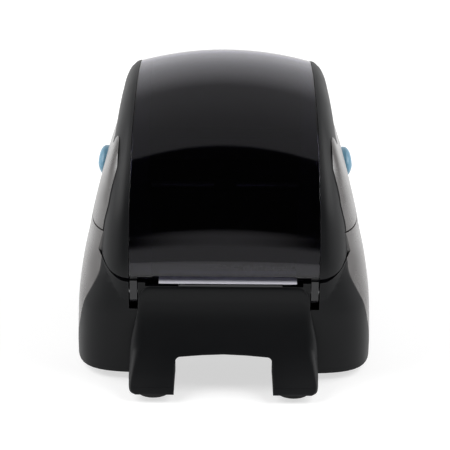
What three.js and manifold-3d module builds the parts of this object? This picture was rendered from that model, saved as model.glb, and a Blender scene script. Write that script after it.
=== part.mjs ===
// Desktop label printer: a 4-inch direct thermal machine with a clamshell cover.
// Millimetres, +Z up, +Y towards the front where labels come out, origin under the middle.
import * as THREE from "three";
import { mergeVertices } from "three/addons/utils/BufferGeometryUtils.js";
import Module from "manifold-3d";

const wasm = await Module();
wasm.setup();

// ---------------------------------------------------------------- overall sizes
const bodyWidth = 170;
const bodyDepth = 216;
const bodyHeight = 156;
const footHeight = 4;
const wall = 2.6;
const panelThickness = 1.4;
const seamGap = 0.8;
const fitGap = 0.3;
const runGap = 0.4;

// ---------------------------------------------------------------- body and cover form
const rearFace = -80;
const skirtCentre = 20;
const hingeY = -73.5;
const hingeZ = 52;
const windowSeam = 52.5;
const windowRearEdge = 60.4;
const windowLift = 2;
const windowFrontEdge = 84;
const windowThickness = 2.2;
const crownDrop = 7.4;
const cheekRound = 26;
const partingRear = 82;
const partingMid = 77.6;
const partingFront = 78;

// ---------------------------------------------------------------- tail with its two legs
const tailTop = 56.2;
const legInner = 27;
const archTop = 19.5;
const bayHalfWidth = 61;
const bayDepth = 30;
const bayCeiling = 20.5;

// ---------------------------------------------------------------- hinge, latches and openings
const armInner = 48;
const armWidth = 4.2;
const armPinRadius = 2.4;
const slotGap = 0.45;
const slotBottom = 42.6;
const latchY = 59;
const latchZ = 85;
const latchLength = 28;
const latchHeight = 18;
const latchProud = 4.4;
const exitLow = 75;
const exitHigh = 81;
const exitHalfWidth = 57;

// ---------------------------------------------------------------- media bay and its guides
const tubHalfWidth = 62;
const tubRear = -62.5;
const tubFront = 57.5;
const tubFloor = 31;
const tubRim = 66;
const guideRest = 55.5;
const guideThickness = 3;
const guideTravel = 34;
const rollY = 12;
const rollZ = 86;
const hubRadius = 11.5;
const guidePinionTeeth = 12;
const guideModule = 1.5;

// ---------------------------------------------------------------- print mechanism
const platenY = 81;
const platenZ = 72.5;
const platenRadius = 8;
const platenHalfLength = 53.5;
const platenShaftRadius = 3;
const plateX = 57.2;
const plateThickness = 1.6;
const gearModule = 1.25;
const platenTeeth = 16;
const idlerTeeth = 20;
const motorTeeth = 10;
const gearWidth = 4;
const motorZ = 34;
const motorSize = 35;
const motorLength = 30;

// ---------------------------------------------------------------- electronics and controls
const boardZ = 12;
const boardThickness = 1.6;
const buttonX = 40;
const buttonZ = 58;
const buttonRadius = 7;
const switchX = 44;
const switchZ = 32;

// ---------------------------------------------------------------- materials
function finish(color, roughness, metalness = 0, opacity = 1) {
  return new THREE.MeshStandardMaterial({ color, roughness, metalness, opacity,
    transparent: opacity < 1 });
}

const charcoal = finish(0x2b2c2e, 0.55);
const flankGrey = finish(0x3a3a3c, 0.35);
const smoked = finish(0x14101f, 0.08, 0, 0.5);
const maskBlack = finish(0x0a0a0b, 0.4);
const innerGrey = finish(0x4a4b4e, 0.6);
const latchBlue = finish(0x4fa6d6, 0.35);
const rubberBlack = finish(0x161616, 0.9);
const steel = finish(0xb4b6b8, 0.3, 1);
const aluminium = finish(0xc0c2c4, 0.45, 1);
const nylonWhite = finish(0xe4e2da, 0.5);
const boardGreen = finish(0x1f5a38, 0.6);
const connectorBlack = finish(0x1c1c1e, 0.5);
const connectorMetal = finish(0xa9abad, 0.35, 1);
const lightClear = finish(0xcfe8d0, 0.2);
const ceramic = finish(0xd8d2c0, 0.4);

// ---------------------------------------------------------------- solids and booleans
const label = new THREE.Group();
label.name = "label_printer";

// Turns a closed three.js geometry into a solid that can be joined and cut.
function solid(geometry) {
  const plain = geometry.clone();
  for (const name of Object.keys(plain.attributes)) {
    if (name !== "position") plain.deleteAttribute(name);
  }
  const merged = mergeVertices(plain, 1e-4);
  const vertProperties = new Float32Array(merged.attributes.position.array);
  const triVerts = new Uint32Array(merged.index.array);
  return new wasm.Manifold(new wasm.Mesh({ numProp: 3, vertProperties, triVerts }));
}

// Turns a solid back into a three.js geometry.
function geometryOf(body) {
  const mesh = body.getMesh();
  const geometry = new THREE.BufferGeometry();
  geometry.setAttribute("position", new THREE.BufferAttribute(new Float32Array(mesh.vertProperties),
    3));
  geometry.setIndex(new THREE.BufferAttribute(new Uint32Array(mesh.triVerts), 1));
  geometry.computeVertexNormals();
  return geometry;
}

// Adds one named piece to the printer.
function piece(name, body, material) {
  const mesh = new THREE.Mesh(geometryOf(body), material);
  mesh.name = name;
  label.add(mesh);
  return mesh;
}

// A box between two corners.
function box(x0, x1, y0, y1, z0, z1) {
  const geometry = new THREE.BoxGeometry(x1 - x0, y1 - y0, z1 - z0);
  geometry.translate((x0 + x1) / 2, (y0 + y1) / 2, (z0 + z1) / 2);
  return solid(geometry);
}

// A round rod along X, Y or Z between two places on that axis.
function rod(axis, a, b, from, to, radius, sides = 24, endRadius = radius) {
  const geometry = new THREE.CylinderGeometry(endRadius, radius, to - from, sides);
  if (axis === "x") geometry.rotateZ(-Math.PI / 2).translate((from + to) / 2, a, b);
  if (axis === "y") geometry.translate(a, (from + to) / 2, b);
  if (axis === "z") geometry.rotateX(Math.PI / 2).translate(a, b, (from + to) / 2);
  return solid(geometry);
}

// A flat outline of [a, b] points, extruded along X, Y or Z.
function slab(axis, outline, from, to) {
  const shape = new THREE.Shape(outline.map(([a, b]) => new THREE.Vector2(a, b)));
  const geometry = new THREE.ExtrudeGeometry(shape, { depth: to - from, bevelEnabled: false });
  if (axis === "z") geometry.translate(0, 0, from);
  if (axis === "x") {
    geometry.applyMatrix4(new THREE.Matrix4().set(0, 0, 1, from, 1, 0, 0, 0, 0, 1, 0, 0, 0, 0, 0, 1));
  }
  if (axis === "y") {
    geometry.applyMatrix4(new THREE.Matrix4().set(1, 0, 0, 0, 0, 0, -1, to, 0, 1, 0, 0, 0, 0, 0, 1));
  }
  return solid(geometry);
}

// The outline of a rectangle with round corners, around a centre.
function roundRect(cx, cy, w, h, radius, steps = 4) {
  const points = [];
  const corners = [[1, 1, 0], [-1, 1, 1], [-1, -1, 2], [1, -1, 3]];
  for (const [sx, sy, quarter] of corners) {
    for (let k = 0; k <= steps; k += 1) {
      const turn = (quarter + k / steps) * Math.PI / 2;
      const x = cx + sx * (w / 2 - radius) + radius * Math.cos(turn);
      const y = cy + sy * (h / 2 - radius) + radius * Math.sin(turn);
      points.push([x, y]);
    }
  }
  return points;
}

// A closed solid through rings of equal point counts, with flat fans at both ends.
function loft(rings) {
  const count = rings[0].length;
  const position = rings.flat(2);
  const centre = (ring) => [0, 1, 2].map((k) => ring.reduce((sum, p) => sum + p[k], 0) / count);
  position.push(...centre(rings[0]), ...centre(rings[rings.length - 1]));
  const first = rings.length * count;
  const index = [];
  for (let r = 0; r + 1 < rings.length; r += 1) {
    for (let k = 0; k < count; k += 1) {
      const a = r * count + k;
      const b = r * count + (k + 1) % count;
      index.push(a, b, b + count, a, b + count, a + count);
    }
  }
  const last = (rings.length - 1) * count;
  for (let k = 0; k < count; k += 1) {
    index.push(first, (k + 1) % count, k);
    index.push(first + 1, last + k, last + (k + 1) % count);
  }
  const geometry = new THREE.BufferGeometry();
  geometry.setAttribute("position", new THREE.Float32BufferAttribute(position, 3));
  geometry.setIndex(index);
  return solid(geometry);
}

function mirrored(body) {
  return body.mirror([1, 0, 0]);
}

function joined(...bodies) {
  return bodies.reduce((sum, body) => sum.add(body));
}

// A smooth curve through [t, value] stops, flat beyond both ends.
function smooth(stops) {
  const slopes = stops.map((stop, k) => {
    const before = stops[Math.max(k - 1, 0)];
    const after = stops[Math.min(k + 1, stops.length - 1)];
    return (after[1] - before[1]) / (after[0] - before[0]);
  });
  return (t) => {
    if (t <= stops[0][0]) return stops[0][1];
    let k = 1;
    while (k < stops.length - 1 && t > stops[k][0]) k += 1;
    const [t0, v0] = stops[k - 1];
    const [t1, v1] = stops[k];
    if (t >= t1) return v1;
    const span = t1 - t0;
    const u = (t - t0) / span;
    const u2 = u * u;
    const u3 = u2 * u;
    return (2 * u3 - 3 * u2 + 1) * v0 + (u3 - 2 * u2 + u) * span * slopes[k - 1]
      + (3 * u2 - 2 * u3) * v1 + (u3 - u2) * span * slopes[k];
  };
}

// ---------------------------------------------------------------- outer form
// Lower skirt: rounded-rectangle slices whose half width, ends and squareness follow the height.
const skirtHalfWidth = smooth([
  [4, bodyWidth / 2], [12, bodyWidth / 2], [33, 84.2], [46, 83.1], [58, 81.4], [70, 78.7],
  [82, 76.2], [99, 71.5], [121, 63.7], [130, 60], [138, 55],
]);
const skirtRear = smooth([[46, rearFace + 0.4], [58, -79], [70, -75], [82, -73.6], [99, -68.7], [121,
  -48], [138, -14]]);
const skirtFront = smooth([[4, 105], [45, bodyDepth / 2], [82, 104.8], [99, 101.5], [121, 92], [138,
  76]]);
const skirtSquareness = smooth([[40, 7], [58, 5.6], [99, 5.5], [121, 8]]);

function skirt(inset, from = footHeight, to = 136) {
  const stops = [4, 9, 20, 33, 46, 57, 66, 74, 82, 91, 101, 112, 121, 129, 136];
  const heights = [from, ...stops.filter((z) => z > from + 1 && z < to - 1), to];
  const sides = 40;
  return loft(heights.map((z) => {
    const h = skirtHalfWidth(z) - inset;
    const n = skirtSquareness(z);
    return Array.from({ length: sides }, (_, k) => {
      const turn = (k / sides) * 2 * Math.PI;
      const c = Math.cos(turn);
      const s = Math.sin(turn);
      const end = s < 0 ? skirtCentre - (skirtRear(z) + inset) : skirtFront(z) - inset - skirtCentre;
      const reach = (Math.abs(c) ** n + Math.abs(s) ** n) ** (-1 / n);
      return [h * c * reach, skirtCentre + end * s * reach, z];
    });
  }));
}

// Core: the arched side profile of the window and cover, as [y, z] stops from the rear foot
// over the top to the front foot.
const coreStops = [
  [-78.4, 46], [-79.6, 59], [-80, 68], [-76.8, 82], [-70.4, 100], [-55, 120], [-30, 137.4], [0, 148.8],
  [26, 154.4], [46, bodyHeight], [66, 154.8], [84, 149.6], [96, 137], [102.5, 120], [105, 98], [106,
  78], [106, 46],
];
const coreCurve = new THREE.CatmullRomCurve3(
  coreStops.map(([y, z]) => new THREE.Vector3(0, y, z)), false, "centripetal");
const coreSteps = 30;
const coreFoot = 46;
const cheekWallHalfWidth = smooth([[59, 69.8], [70, 69.6], [82, 68.8], [99, 66.5], [121, 64.4], [150,
  61.9]]);

// One profile, inset along its own normal and lowered by the crown towards the sides.
function coreProfile(inset, drop) {
  const scale = 1 - drop / (bodyHeight - windowRearEdge);
  return Array.from({ length: coreSteps + 1 }, (_, k) => {
    const t = k / coreSteps;
    const p = coreCurve.getPoint(t);
    const along = coreCurve.getTangent(t);
    const y = p.y + along.z * inset;
    const z = Math.max(p.z - along.y * inset, coreFoot);
    return [y, windowRearEdge + (z - windowRearEdge) * (z > windowRearEdge ? scale : 1)];
  });
}

// The core as a solid, offset inwards by inset all over.
function core(inset) {
  const ring = (x, profile) => profile.map(([y, z]) => [x(z), y, z]);
  const rings = [];
  const crown = (x) => crownDrop * (x / windowSeam) ** 2;
  const rounds = [0, 1.6, 5, 11, 18, cheekRound];
  const cheek = (o) => Math.sqrt(1 - (1 - o / cheekRound) ** 2);
  const side = rounds.map((o) => [(z) => windowSeam - inset * 0.2
    + (cheekWallHalfWidth(z) - windowSeam - inset * 0.8) * cheek(o), inset + o, crownDrop]);
  for (const [x, o, drop] of [...side].reverse()) rings.push(ring((z) => -x(z), coreProfile(o, drop)));
  for (const x of [-36, -18, 0, 18, 36]) rings.push(ring(() => x, coreProfile(inset, crown(x))));
  for (const [x, o, drop] of side) rings.push(ring(x, coreProfile(o, drop)));
  return loft(rings.map((points) => points.slice().reverse()));
}

const outerSkirt = skirt(0);
const outerCore = core(0);

// ---------------------------------------------------------------- parting between body and cover
const dropFront = -61.5;
const partingLine = [
  [120, partingFront], [88, partingFront], [60, 75], [20, partingMid], [-40, partingRear - 0.8],
  [dropFront, partingRear],
];
function aboveParting(gap) {
  const line = partingLine.map(([y, z]) => [y, z + gap]);
  return slab("x", [...line, [-70, partingRear + gap], [-70, 190], [120, 190]], -120, 120);
}
// The cover's hanging rear end: its lower edge is level behind the window and rises around
// both corners. hingeEase widens the seam near the hinge, where the edge swings closest.
function rearDrop(gap, hingeEase = 0) {
  const half = (s) => [
    [s * 46, windowRearEdge + gap - hingeEase], [s * 56, windowRearEdge + 0.7 + gap - hingeEase],
    [s * 61, windowRearEdge + 2.1 + gap - hingeEase * 0.4], [s * 64.6, windowRearEdge + 4.4 + gap],
    [s * (67.4 - gap), 68.4 + gap], [s * (71.5 - gap), 74 + gap], [s * (71.5 - gap), 190],
  ];
  return slab("y", [...half(1), ...half(-1).reverse()], -120, dropFront - gap);
}
const coverRegion = aboveParting(seamGap / 2).add(rearDrop(seamGap / 2));
const bodyRegion = box(-120, 120, -120, 120, -10, 190)
  .subtract(aboveParting(-seamGap / 2)).subtract(rearDrop(-seamGap / 2, 1.6));

// ---------------------------------------------------------------- tail
function tailSolid(inset, floor = 0) {
  const rows = [
    [-66, tailTop, 47.4], [-79.2, tailTop, 47.4], [-79.9, 47, 48.4], [-81.3, 40, 50], [-84.5, 32,
    51.6], [-90, 22, 52],
    [-98, 12.5, 52], [-105, 6.4, 51], [-108, footHeight + 0.3, 48],
  ];
  return loft(rows.map(([y, z, half]) => {
    const h = half - inset;
    const back = y + (y < -70 ? inset : 0);
    const top = z - inset * 0.4;
    const low = footHeight + 0.3 + floor;
    const high = Math.max(top, low + 0.1);
    const soft = Math.min(6, (high - low) * 0.45);
    return [
      [h - soft * 0.6, back, low], [h, back, low + soft], [h, back, high - soft], [h - soft * 0.7,
      back, high],
      [0, back, high], [-h + soft * 0.7, back, high], [-h, back, high - soft], [-h, back, low + soft],
      [-h + soft * 0.6, back, low], [0, back, low],
    ];
  }));
}
const archCut = slab("y", [
  [-legInner, -2], [legInner, -2], [legInner, archTop - 3.4], [legInner - 3, archTop], [10,
  archTop + 1],
  [-10, archTop + 1], [-legInner + 3, archTop], [-legInner, archTop - 3.4],
], -115, -70);

// ---------------------------------------------------------------- shells of the body
const flankLine = [
  [-64, 84], [-65, 70], [-69, 60], [-67, 46], [-60, 28], [-52, 17], [-44, 10], [-30, 7],
  [70, 7], [88, 14], [97, 30], [97, 60], [92, 84],
];
function flankRegion(gap, side) {
  const shrink = ([y, z]) => [y + (y < 10 ? gap : -gap), z < 40 ? z + gap : z];
  return slab("x", flankLine.map(shrink), side > 0 ? 45 : -120, side > 0 ? 120 : -45);
}
const frontPanel = { width: 124, low: 12, high: 70, round: 8 };
function frontRegion(gap, from = 96) {
  const height = frontPanel.high - frontPanel.low;
  return slab("y", roundRect(0, (frontPanel.low + frontPanel.high) / 2, frontPanel.width - 2 * gap,
    height - 2 * gap, frontPanel.round - gap), from, 120);
}

// Keeps the main solid of a cut and leaves its loose slivers out.
function whole(body) {
  return body.decompose().reduce((most, part) => (part.volume() > most.volume() ? part : most));
}

const innerSkirt = skirt(wall, -5, 134);
const outerForm = outerSkirt.add(outerCore);
const innerForm = innerSkirt.add(core(wall));
const backing = skirt(panelThickness + fitGap, -6, 137);
function hingeSlot(side) {
  const inner = armInner - slotGap;
  const outer = armInner + armWidth + slotGap;
  return box(side > 0 ? inner : -outer, side > 0 ? outer : -inner, -90, -64, slotBottom, 80);
}
function hingeBoss(from, to) {
  return box(from, to, -78, -68.6, 46.6, 56.4);
}
const pinRoom = rod("x", hingeY, hingeZ, -57.5, -44, armPinRadius + fitGap);
const bosses = joined(hingeBoss(44.6, 47.4), hingeBoss(52.8, 57), hingeBoss(-47.4, -44.6),
  hingeBoss(-57, -52.8));
const tailShell = tailSolid(0).subtract(tailSolid(wall, wall).intersect(box(-60, 60, -120, -70, 0,
  53.4)))
  .subtract(skirt(wall, -5, 134).intersect(box(-100, 100, -77.4, 100, -9, 90)));
function flankPocket(side) {
  return flankRegion(0, side).subtract(backing);
}
const rearHousing = whole(outerForm.subtract(innerForm).add(tailShell).add(bosses)
  .intersect(bodyRegion)
  .subtract(box(-43.5, 43.5, -90, -66, tailTop, 70))
  .subtract(archCut)
  .subtract(box(-legInner, legInner, -90, -70, -5, archTop + 0.6))
  .subtract(hingeSlot(1)).subtract(hingeSlot(-1))
  .subtract(pinRoom).subtract(mirrored(pinRoom))
  .subtract(flankPocket(1)).subtract(flankPocket(-1))
  .subtract(frontRegion(0))
  .subtract(box(-exitHalfWidth, exitHalfWidth, 85, 120, exitLow, 120)));
piece("rear_housing", rearHousing, charcoal);

const flankSkin = outerForm.subtract(skirt(panelThickness, -6, 137)).intersect(bodyRegion);
piece("side_panel_right", whole(flankSkin.intersect(flankRegion(fitGap, 1))), flankGrey);
piece("side_panel_left", whole(flankSkin.intersect(flankRegion(fitGap, -1))), flankGrey);

for (const side of [1, -1]) {
  const name = side > 0 ? "hinge_pin_right" : "hinge_pin_left";
  const pin = rod("x", hingeY, hingeZ, 44.9, 57.2, armPinRadius);
  piece(name, side > 0 ? pin : mirrored(pin), steel);
}

// ---------------------------------------------------------------- base pan and cable bay
const panPost = (x, y) => rod("z", x, y, footHeight, boardZ - fitGap, 3, 12);
const panScrews = [[-70, 62], [70, 62], [-72, -28], [72, -28]];
const boardPosts = [[-50, -38], [50, -38], [-50, 50], [50, 50]];
const panForm = skirt(wall + fitGap, footHeight, footHeight + 2.4);
const panNotch = box(-bayHalfWidth - 4, bayHalfWidth + 4, -120, rearFace + bayDepth + 3, 0, 20);
const panHoles = panScrews.map(([x, y]) => rod("z", x, y, 0, 10, 2));
const footRadius = 9;
let basePan = panForm.subtract(panNotch);
for (const [x, y] of boardPosts) basePan = basePan.add(panPost(x, y));
for (const hole of panHoles) basePan = basePan.subtract(hole);
piece("base_pan", whole(basePan), innerGrey);

// Recessed wall and ceiling above the cable way, with the sockets' openings.
const bayFront = rearFace + bayDepth;
const sockets = [
  { name: "power_inlet", x: -46, w: 11, h: 11, depth: 14, material: connectorBlack, hole: 3.2 },
  { name: "serial_port", x: -22, w: 25, h: 11, depth: 12, material: connectorMetal, hole: 0 },
  { name: "usb_device_port", x: 4, w: 12, h: 10.8, depth: 16, material: connectorMetal, hole: 3.4 },
  { name: "ethernet_port", x: 25, w: 15.6, h: 13, depth: 18, material: connectorMetal, hole: 4.6 },
];
const socketBase = footHeight + 3;
let cableBay = box(-bayHalfWidth + fitGap, bayHalfWidth - fitGap, rearFace + 6, bayFront + 2,
  socketBase - 0.3, bayCeiling)
  .subtract(box(-bayHalfWidth + 2, bayHalfWidth - 2, -120, bayFront, -5, bayCeiling - 2));
for (const s of sockets) {
  cableBay = cableBay.subtract(box(s.x - s.w / 2 - fitGap, s.x + s.w / 2 + fitGap, bayFront - 3,
    bayFront + 4,
    boardZ - 5, boardZ - 5 + s.h + 3 * fitGap));
}
piece("cable_bay", whole(cableBay), charcoal);

// ---------------------------------------------------------------- front panel and its controls
const buttonWell = rod("y", buttonX, buttonZ, 90, 120, buttonRadius + runGap);
const lampX = 22;
const lampRadius = 2;
const switchWidth = 19;
const switchHeight = 13;
const switchWell = box(switchX - switchWidth / 2 - fitGap, switchX + switchWidth / 2 + fitGap, 90, 120,
  switchZ - switchHeight / 2 - fitGap, switchZ + switchHeight / 2 + fitGap);
const frontPanelSolid = whole(outerForm.subtract(skirt(wall - 0.2, -5,
  134)).intersect(frontRegion(fitGap, 90)));
piece("front_panel", frontPanelSolid.subtract(buttonWell).subtract(switchWell)
  .subtract(rod("y", lampX, buttonZ, 90, 120, lampRadius + fitGap, 16)), flankGrey);
const panelFace = bodyDepth / 2;
piece("feed_button", joined(
  rod("y", buttonX, buttonZ, panelFace - 8, panelFace, buttonRadius),
  rod("y", buttonX, buttonZ, panelFace - 10.5, panelFace - 7.9, buttonRadius + 2)), latchBlue);
piece("lamp_pipe", rod("y", lampX, buttonZ, panelFace - 14, panelFace - 0.4, lampRadius, 16),
  lightClear);

const switchDepth = 15;
const switchBody = box(switchX - switchWidth / 2, switchX + switchWidth / 2, panelFace - switchDepth,
  panelFace - 0.5, switchZ - switchHeight / 2, switchZ + switchHeight / 2)
  .subtract(box(switchX - switchWidth / 2 + 1.6, switchX + switchWidth / 2 - 1.6, panelFace - 8,
  panelFace + 1,
    switchZ - switchHeight / 2 + 1.6, switchZ + switchHeight / 2 - 1.6));
piece("switch_body", switchBody, connectorBlack);
const rockerHalf = switchWidth / 2 - 2.2;
const rockerPivotY = panelFace - 4.6;
const rocker = slab("z", [
  [switchX - rockerHalf, rockerPivotY + 0.6], [switchX - rockerHalf + 0.6, rockerPivotY + 3.4],
  [switchX, rockerPivotY + 2.6], [switchX + rockerHalf - 0.3, rockerPivotY + 4.4],
  [switchX + rockerHalf, rockerPivotY + 1.6], [switchX + 2.2, rockerPivotY - 1.6], [switchX - 2.2,
  rockerPivotY - 1.6],
], switchZ - switchHeight / 2 + 2.1, switchZ + switchHeight / 2 - 2.1);
piece("power_switch", rocker, maskBlack);

// ---------------------------------------------------------------- main board and its sockets
const boardFront = 60;
let mainBoard = box(-57, 57, bayFront + 3, boardFront, boardZ, boardZ + boardThickness);
for (const [x, y, w, d, h] of [[-12, 10, 16, 16, 2], [18, 20, 10, 8, 1.6], [-34, 22, 12, 12, 9], [34,
  -8, 9, 20, 3]]) {
  mainBoard = mainBoard.add(box(x - w / 2, x + w / 2, y - d / 2, y + d / 2, boardZ + 1,
    boardZ + boardThickness + h));
}
piece("main_board", mainBoard, boardGreen);
for (const s of sockets) {
  const z0 = boardZ - 5 + fitGap * 1.5;
  let socket = box(s.x - s.w / 2, s.x + s.w / 2, bayFront - 2, bayFront + s.depth, z0, z0 + s.h);
  socket = socket.subtract(box(s.x - 30, s.x + 30, bayFront + 3 - fitGap, bayFront + 40, 0,
    boardZ + boardThickness + fitGap));
  if (s.hole > 0) {
    socket = socket.subtract(box(s.x - s.w / 2 + 1.4, s.x + s.w / 2 - 1.4, bayFront - 10,
      bayFront + s.depth - 3,
      boardZ + boardThickness + 1, z0 + s.h - 1));
  }
  piece(s.name, socket, s.material);
}

// ---------------------------------------------------------------- fan-fold entry
const guideTop = 59.4;
const guideLeft = -36;
const guideRight = 40;
piece("fanfold_guide", slab("x", [
  [-79.3, guideTop - 1.6], [-79.3, guideTop - 0.4], [-78.6, guideTop], [-64.5, guideTop + 0.6], [-64.5,
  guideTop - 0.2],
  [-78.4, guideTop - 0.8], [-78.5, guideTop - 1.6],
], guideLeft, guideRight), steel);
piece("fanfold_lip", slab("x", [
  [-79.7, tailTop + fitGap], [-79.7, guideTop - 2], [-78.2, guideTop - 1.9], [-78.2, guideTop - 1.2],
  [-66, guideTop - 0.8], [-66, guideTop - 2.2], [-77, guideTop - 2.4], [-77, tailTop + fitGap],
], -25, 32), charcoal);

// ---------------------------------------------------------------- media tub
const tubWall = 2.2;
const rackSlotY = rollY;
const tubOutline = [[tubRear, 53.5], [tubRear, tubFloor + 8], [tubRear + 10, tubFloor - tubWall],
  [tubFront - 8, tubFloor - tubWall],
  [tubFront, tubFloor + 8], [tubFront, tubRim]];
const tubInside = [[tubRear + tubWall, 90], [tubRear + tubWall, tubFloor + 9], [tubRear + 11,
  tubFloor], [tubFront - 9, tubFloor],
  [tubFront - tubWall, tubFloor + 9], [tubFront - tubWall, 90]];
const trackLength = guideRest + guideThickness + 1;
const tub = slab("x", [...tubOutline, [-40, tubRim], [tubRear + 6, 60]], -tubHalfWidth, tubHalfWidth)
  .subtract(slab("x", tubInside, -tubHalfWidth + tubWall, tubHalfWidth - tubWall))
  .subtract(box(-tubHalfWidth + tubWall, tubHalfWidth - tubWall, -120, tubRear + 10, 53.5, 90))
  .subtract(box(-trackLength, trackLength, rackSlotY - 14, rackSlotY + 14, 0, 60));
piece("media_tub", whole(tub), innerGrey);

// ---------------------------------------------------------------- gears and racks
// A spur gear outline around a centre: involute-like flanks, a tooth centred on the phase angle.
function gearOutline(cx, cy, teeth, module, phase, backlash) {
  const pitch = (teeth * module) / 2;
  const tip = pitch + module * 0.9;
  const root = pitch - module * 1.2;
  const half = (thickness, radius) => Math.max(thickness, 0.1) / 2 / radius;
  const tooth = (Math.PI * module) / 2 - backlash;
  const points = [];
  for (let k = 0; k < teeth; k += 1) {
    const middle = phase + (k / teeth) * 2 * Math.PI;
    const flanks = [[root, half(tooth * 1.35, root)], [pitch, half(tooth, pitch)], [tip,
      half(tooth * 0.46, tip)]];
    for (const [radius, turn] of flanks) points.push([radius, middle - turn]);
    for (const [radius, turn] of [...flanks].reverse()) points.push([radius, middle + turn]);
  }
  return points.map(([radius, turn]) => [cx + radius * Math.cos(turn), cy + radius * Math.sin(turn)]);
}

// ---------------------------------------------------------------- media guides
const pinionPitch = (guidePinionTeeth * guideModule) / 2;
const guideBacklash = 0.5;
const rackTop = tubFloor - tubWall - 0.6;
const rackThickness = 3;
const rackPitch = Math.PI * guideModule;
const rackWidth = 5;

// The rack's teeth run along X on one side of the pinion; a tooth centre falls at offset.
function rackOutline(from, to, side, offset) {
  const flankIn = rackSlotY + side * (pinionPitch - guideModule * 0.9);
  const flankOut = rackSlotY + side * (pinionPitch + guideModule * 1.2);
  const back = rackSlotY + side * (pinionPitch + guideModule * 1.2 + rackWidth);
  const tooth = rackPitch / 2 - guideBacklash;
  const points = [[from, back], [from, flankOut]];
  const first = Math.ceil((from + tooth - offset) / rackPitch);
  for (let k = first; offset + k * rackPitch < to - tooth; k += 1) {
    const middle = offset + k * rackPitch;
    points.push([middle - tooth * 0.75, flankOut], [middle - tooth * 0.25, flankIn]);
    points.push([middle + tooth * 0.25, flankIn], [middle + tooth * 0.75, flankOut]);
  }
  points.push([to, flankOut], [to, back]);
  return points;
}

// Each guide is a plate with a hub for the roll's core, and a rack that runs under the floor.
function mediaGuide(side) {
  const inner = side * guideRest;
  const outer = side * (guideRest + guideThickness);
  const xs = [Math.min(inner, outer), Math.max(inner, outer)];
  const plate = slab("x", [
    [rollY - 30, tubFloor + 1], [rollY + 30, tubFloor + 1], [rollY + 30, tubFloor + 14], [rollY + 17,
    rollZ + 4],
    [rollY + 9, rollZ + 13], [rollY - 9, rollZ + 13], [rollY - 17, rollZ + 4], [rollY - 30,
    tubFloor + 14],
  ], xs[0], xs[1]);
  const hubFace = side * (guideRest - 7);
  const hub = rod("x", rollY, rollZ, Math.min(hubFace, inner), Math.max(hubFace, inner), hubRadius, 20);
  const stemY = [rollY + side * 6, rollY + side * 13].sort((a, b) => a - b);
  const stem = box(xs[0], xs[1], stemY[0], stemY[1], rackTop - rackThickness, tubFloor + 2);
  const reach = -side * (guideTravel - guideRest + 24);
  const rack = slab("z", rackOutline(Math.min(reach, outer), Math.max(reach, outer), side,
    rackPitch / 2),
    rackTop - rackThickness, rackTop);
  return joined(plate, hub, stem, rack);
}
piece("guide_right", mediaGuide(1), innerGrey);
piece("guide_left", mediaGuide(-1), innerGrey);
const guidePinion = slab("z", gearOutline(0, rackSlotY, guidePinionTeeth, guideModule, Math.PI / 2,
  guideBacklash),
  rackTop - rackThickness, rackTop).subtract(rod("z", 0, rackSlotY, 0, 60, 2.4, 16));
piece("guide_pinion", guidePinion, nylonWhite);

// Rack cover: a plate under the floor that carries the pinion's post and closes the guide slots.
const trackTop = rackTop - rackThickness - runGap;
piece("guide_track", box(-tubHalfWidth + 1, tubHalfWidth - 1, rackSlotY - 22, rackSlotY + 22,
  trackTop - 1.6, trackTop)
  .add(rod("z", 0, rackSlotY, trackTop - 1, rackTop + 0.4, 2, 16)), innerGrey);

// ---------------------------------------------------------------- print mechanism
const platenPitch = (platenTeeth * gearModule) / 2;
const idlerPitch = (idlerTeeth * gearModule) / 2;
const motorPitch = (motorTeeth * gearModule) / 2;
const motorY = platenY;
const shaftSpan = platenZ - motorZ;
const motorToIdler = motorPitch + idlerPitch;
const platenToIdler = platenPitch + idlerPitch;
const alongSpan = (motorToIdler ** 2 - platenToIdler ** 2 + shaftSpan ** 2) / (2 * shaftSpan);
const asideSpan = Math.sqrt(motorToIdler ** 2 - alongSpan ** 2);
const idlerY = motorY - asideSpan;
const idlerZ = motorZ + alongSpan;
const gearBacklash = 0.35;
const gearX = -(plateX + plateThickness + 0.9 + gearWidth);
const boreGap = 0.3;

// Meshing phases: each gear has a tooth where its partner has a gap.
const toPlaten = Math.atan2(platenZ - idlerZ, platenY - idlerY);
const toMotor = Math.atan2(motorZ - idlerZ, motorY - idlerY);
const idlerPhase = toPlaten;
const platenPhase = toPlaten + Math.PI + Math.PI / platenTeeth;
const idlerTurns = ((toMotor - idlerPhase) / (2 * Math.PI)) * idlerTeeth;
const idlerPart = idlerTurns - Math.floor(idlerTurns);
const motorPhase = toMotor + Math.PI + ((idlerPart + 0.5) * 2 * Math.PI) / motorTeeth;
function gear(y, z, teeth, phase, boreRadius) {
  return slab("x", gearOutline(y, z, teeth, gearModule, phase, gearBacklash), gearX, gearX + gearWidth)
    .subtract(rod("x", y, z, gearX - 1, gearX + gearWidth + 1, boreRadius, 20));
}

const shaftEnd = gearX - 1;
piece("platen_shaft", rod("x", platenY, platenZ, shaftEnd, plateX + plateThickness + 2,
  platenShaftRadius), steel);
const sleeve = (radius, from, to) => rod("x", platenY, platenZ, from, to, radius)
  .subtract(rod("x", platenY, platenZ, from - 1, to + 1, platenShaftRadius + boreGap));
piece("platen_roller", sleeve(platenRadius, -platenHalfLength, platenHalfLength), rubberBlack);
piece("platen_gear", gear(platenY, platenZ, platenTeeth, platenPhase, platenShaftRadius + boreGap),
  nylonWhite);
const bearingRadius = 5;
for (const side of [1, -1]) {
  const bearing = sleeve(bearingRadius, plateX - 1.8, plateX + plateThickness + 0.6);
  piece(side > 0 ? "bearing_right" : "bearing_left", side > 0 ? bearing : mirrored(bearing),
    nylonWhite);
}

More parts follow.
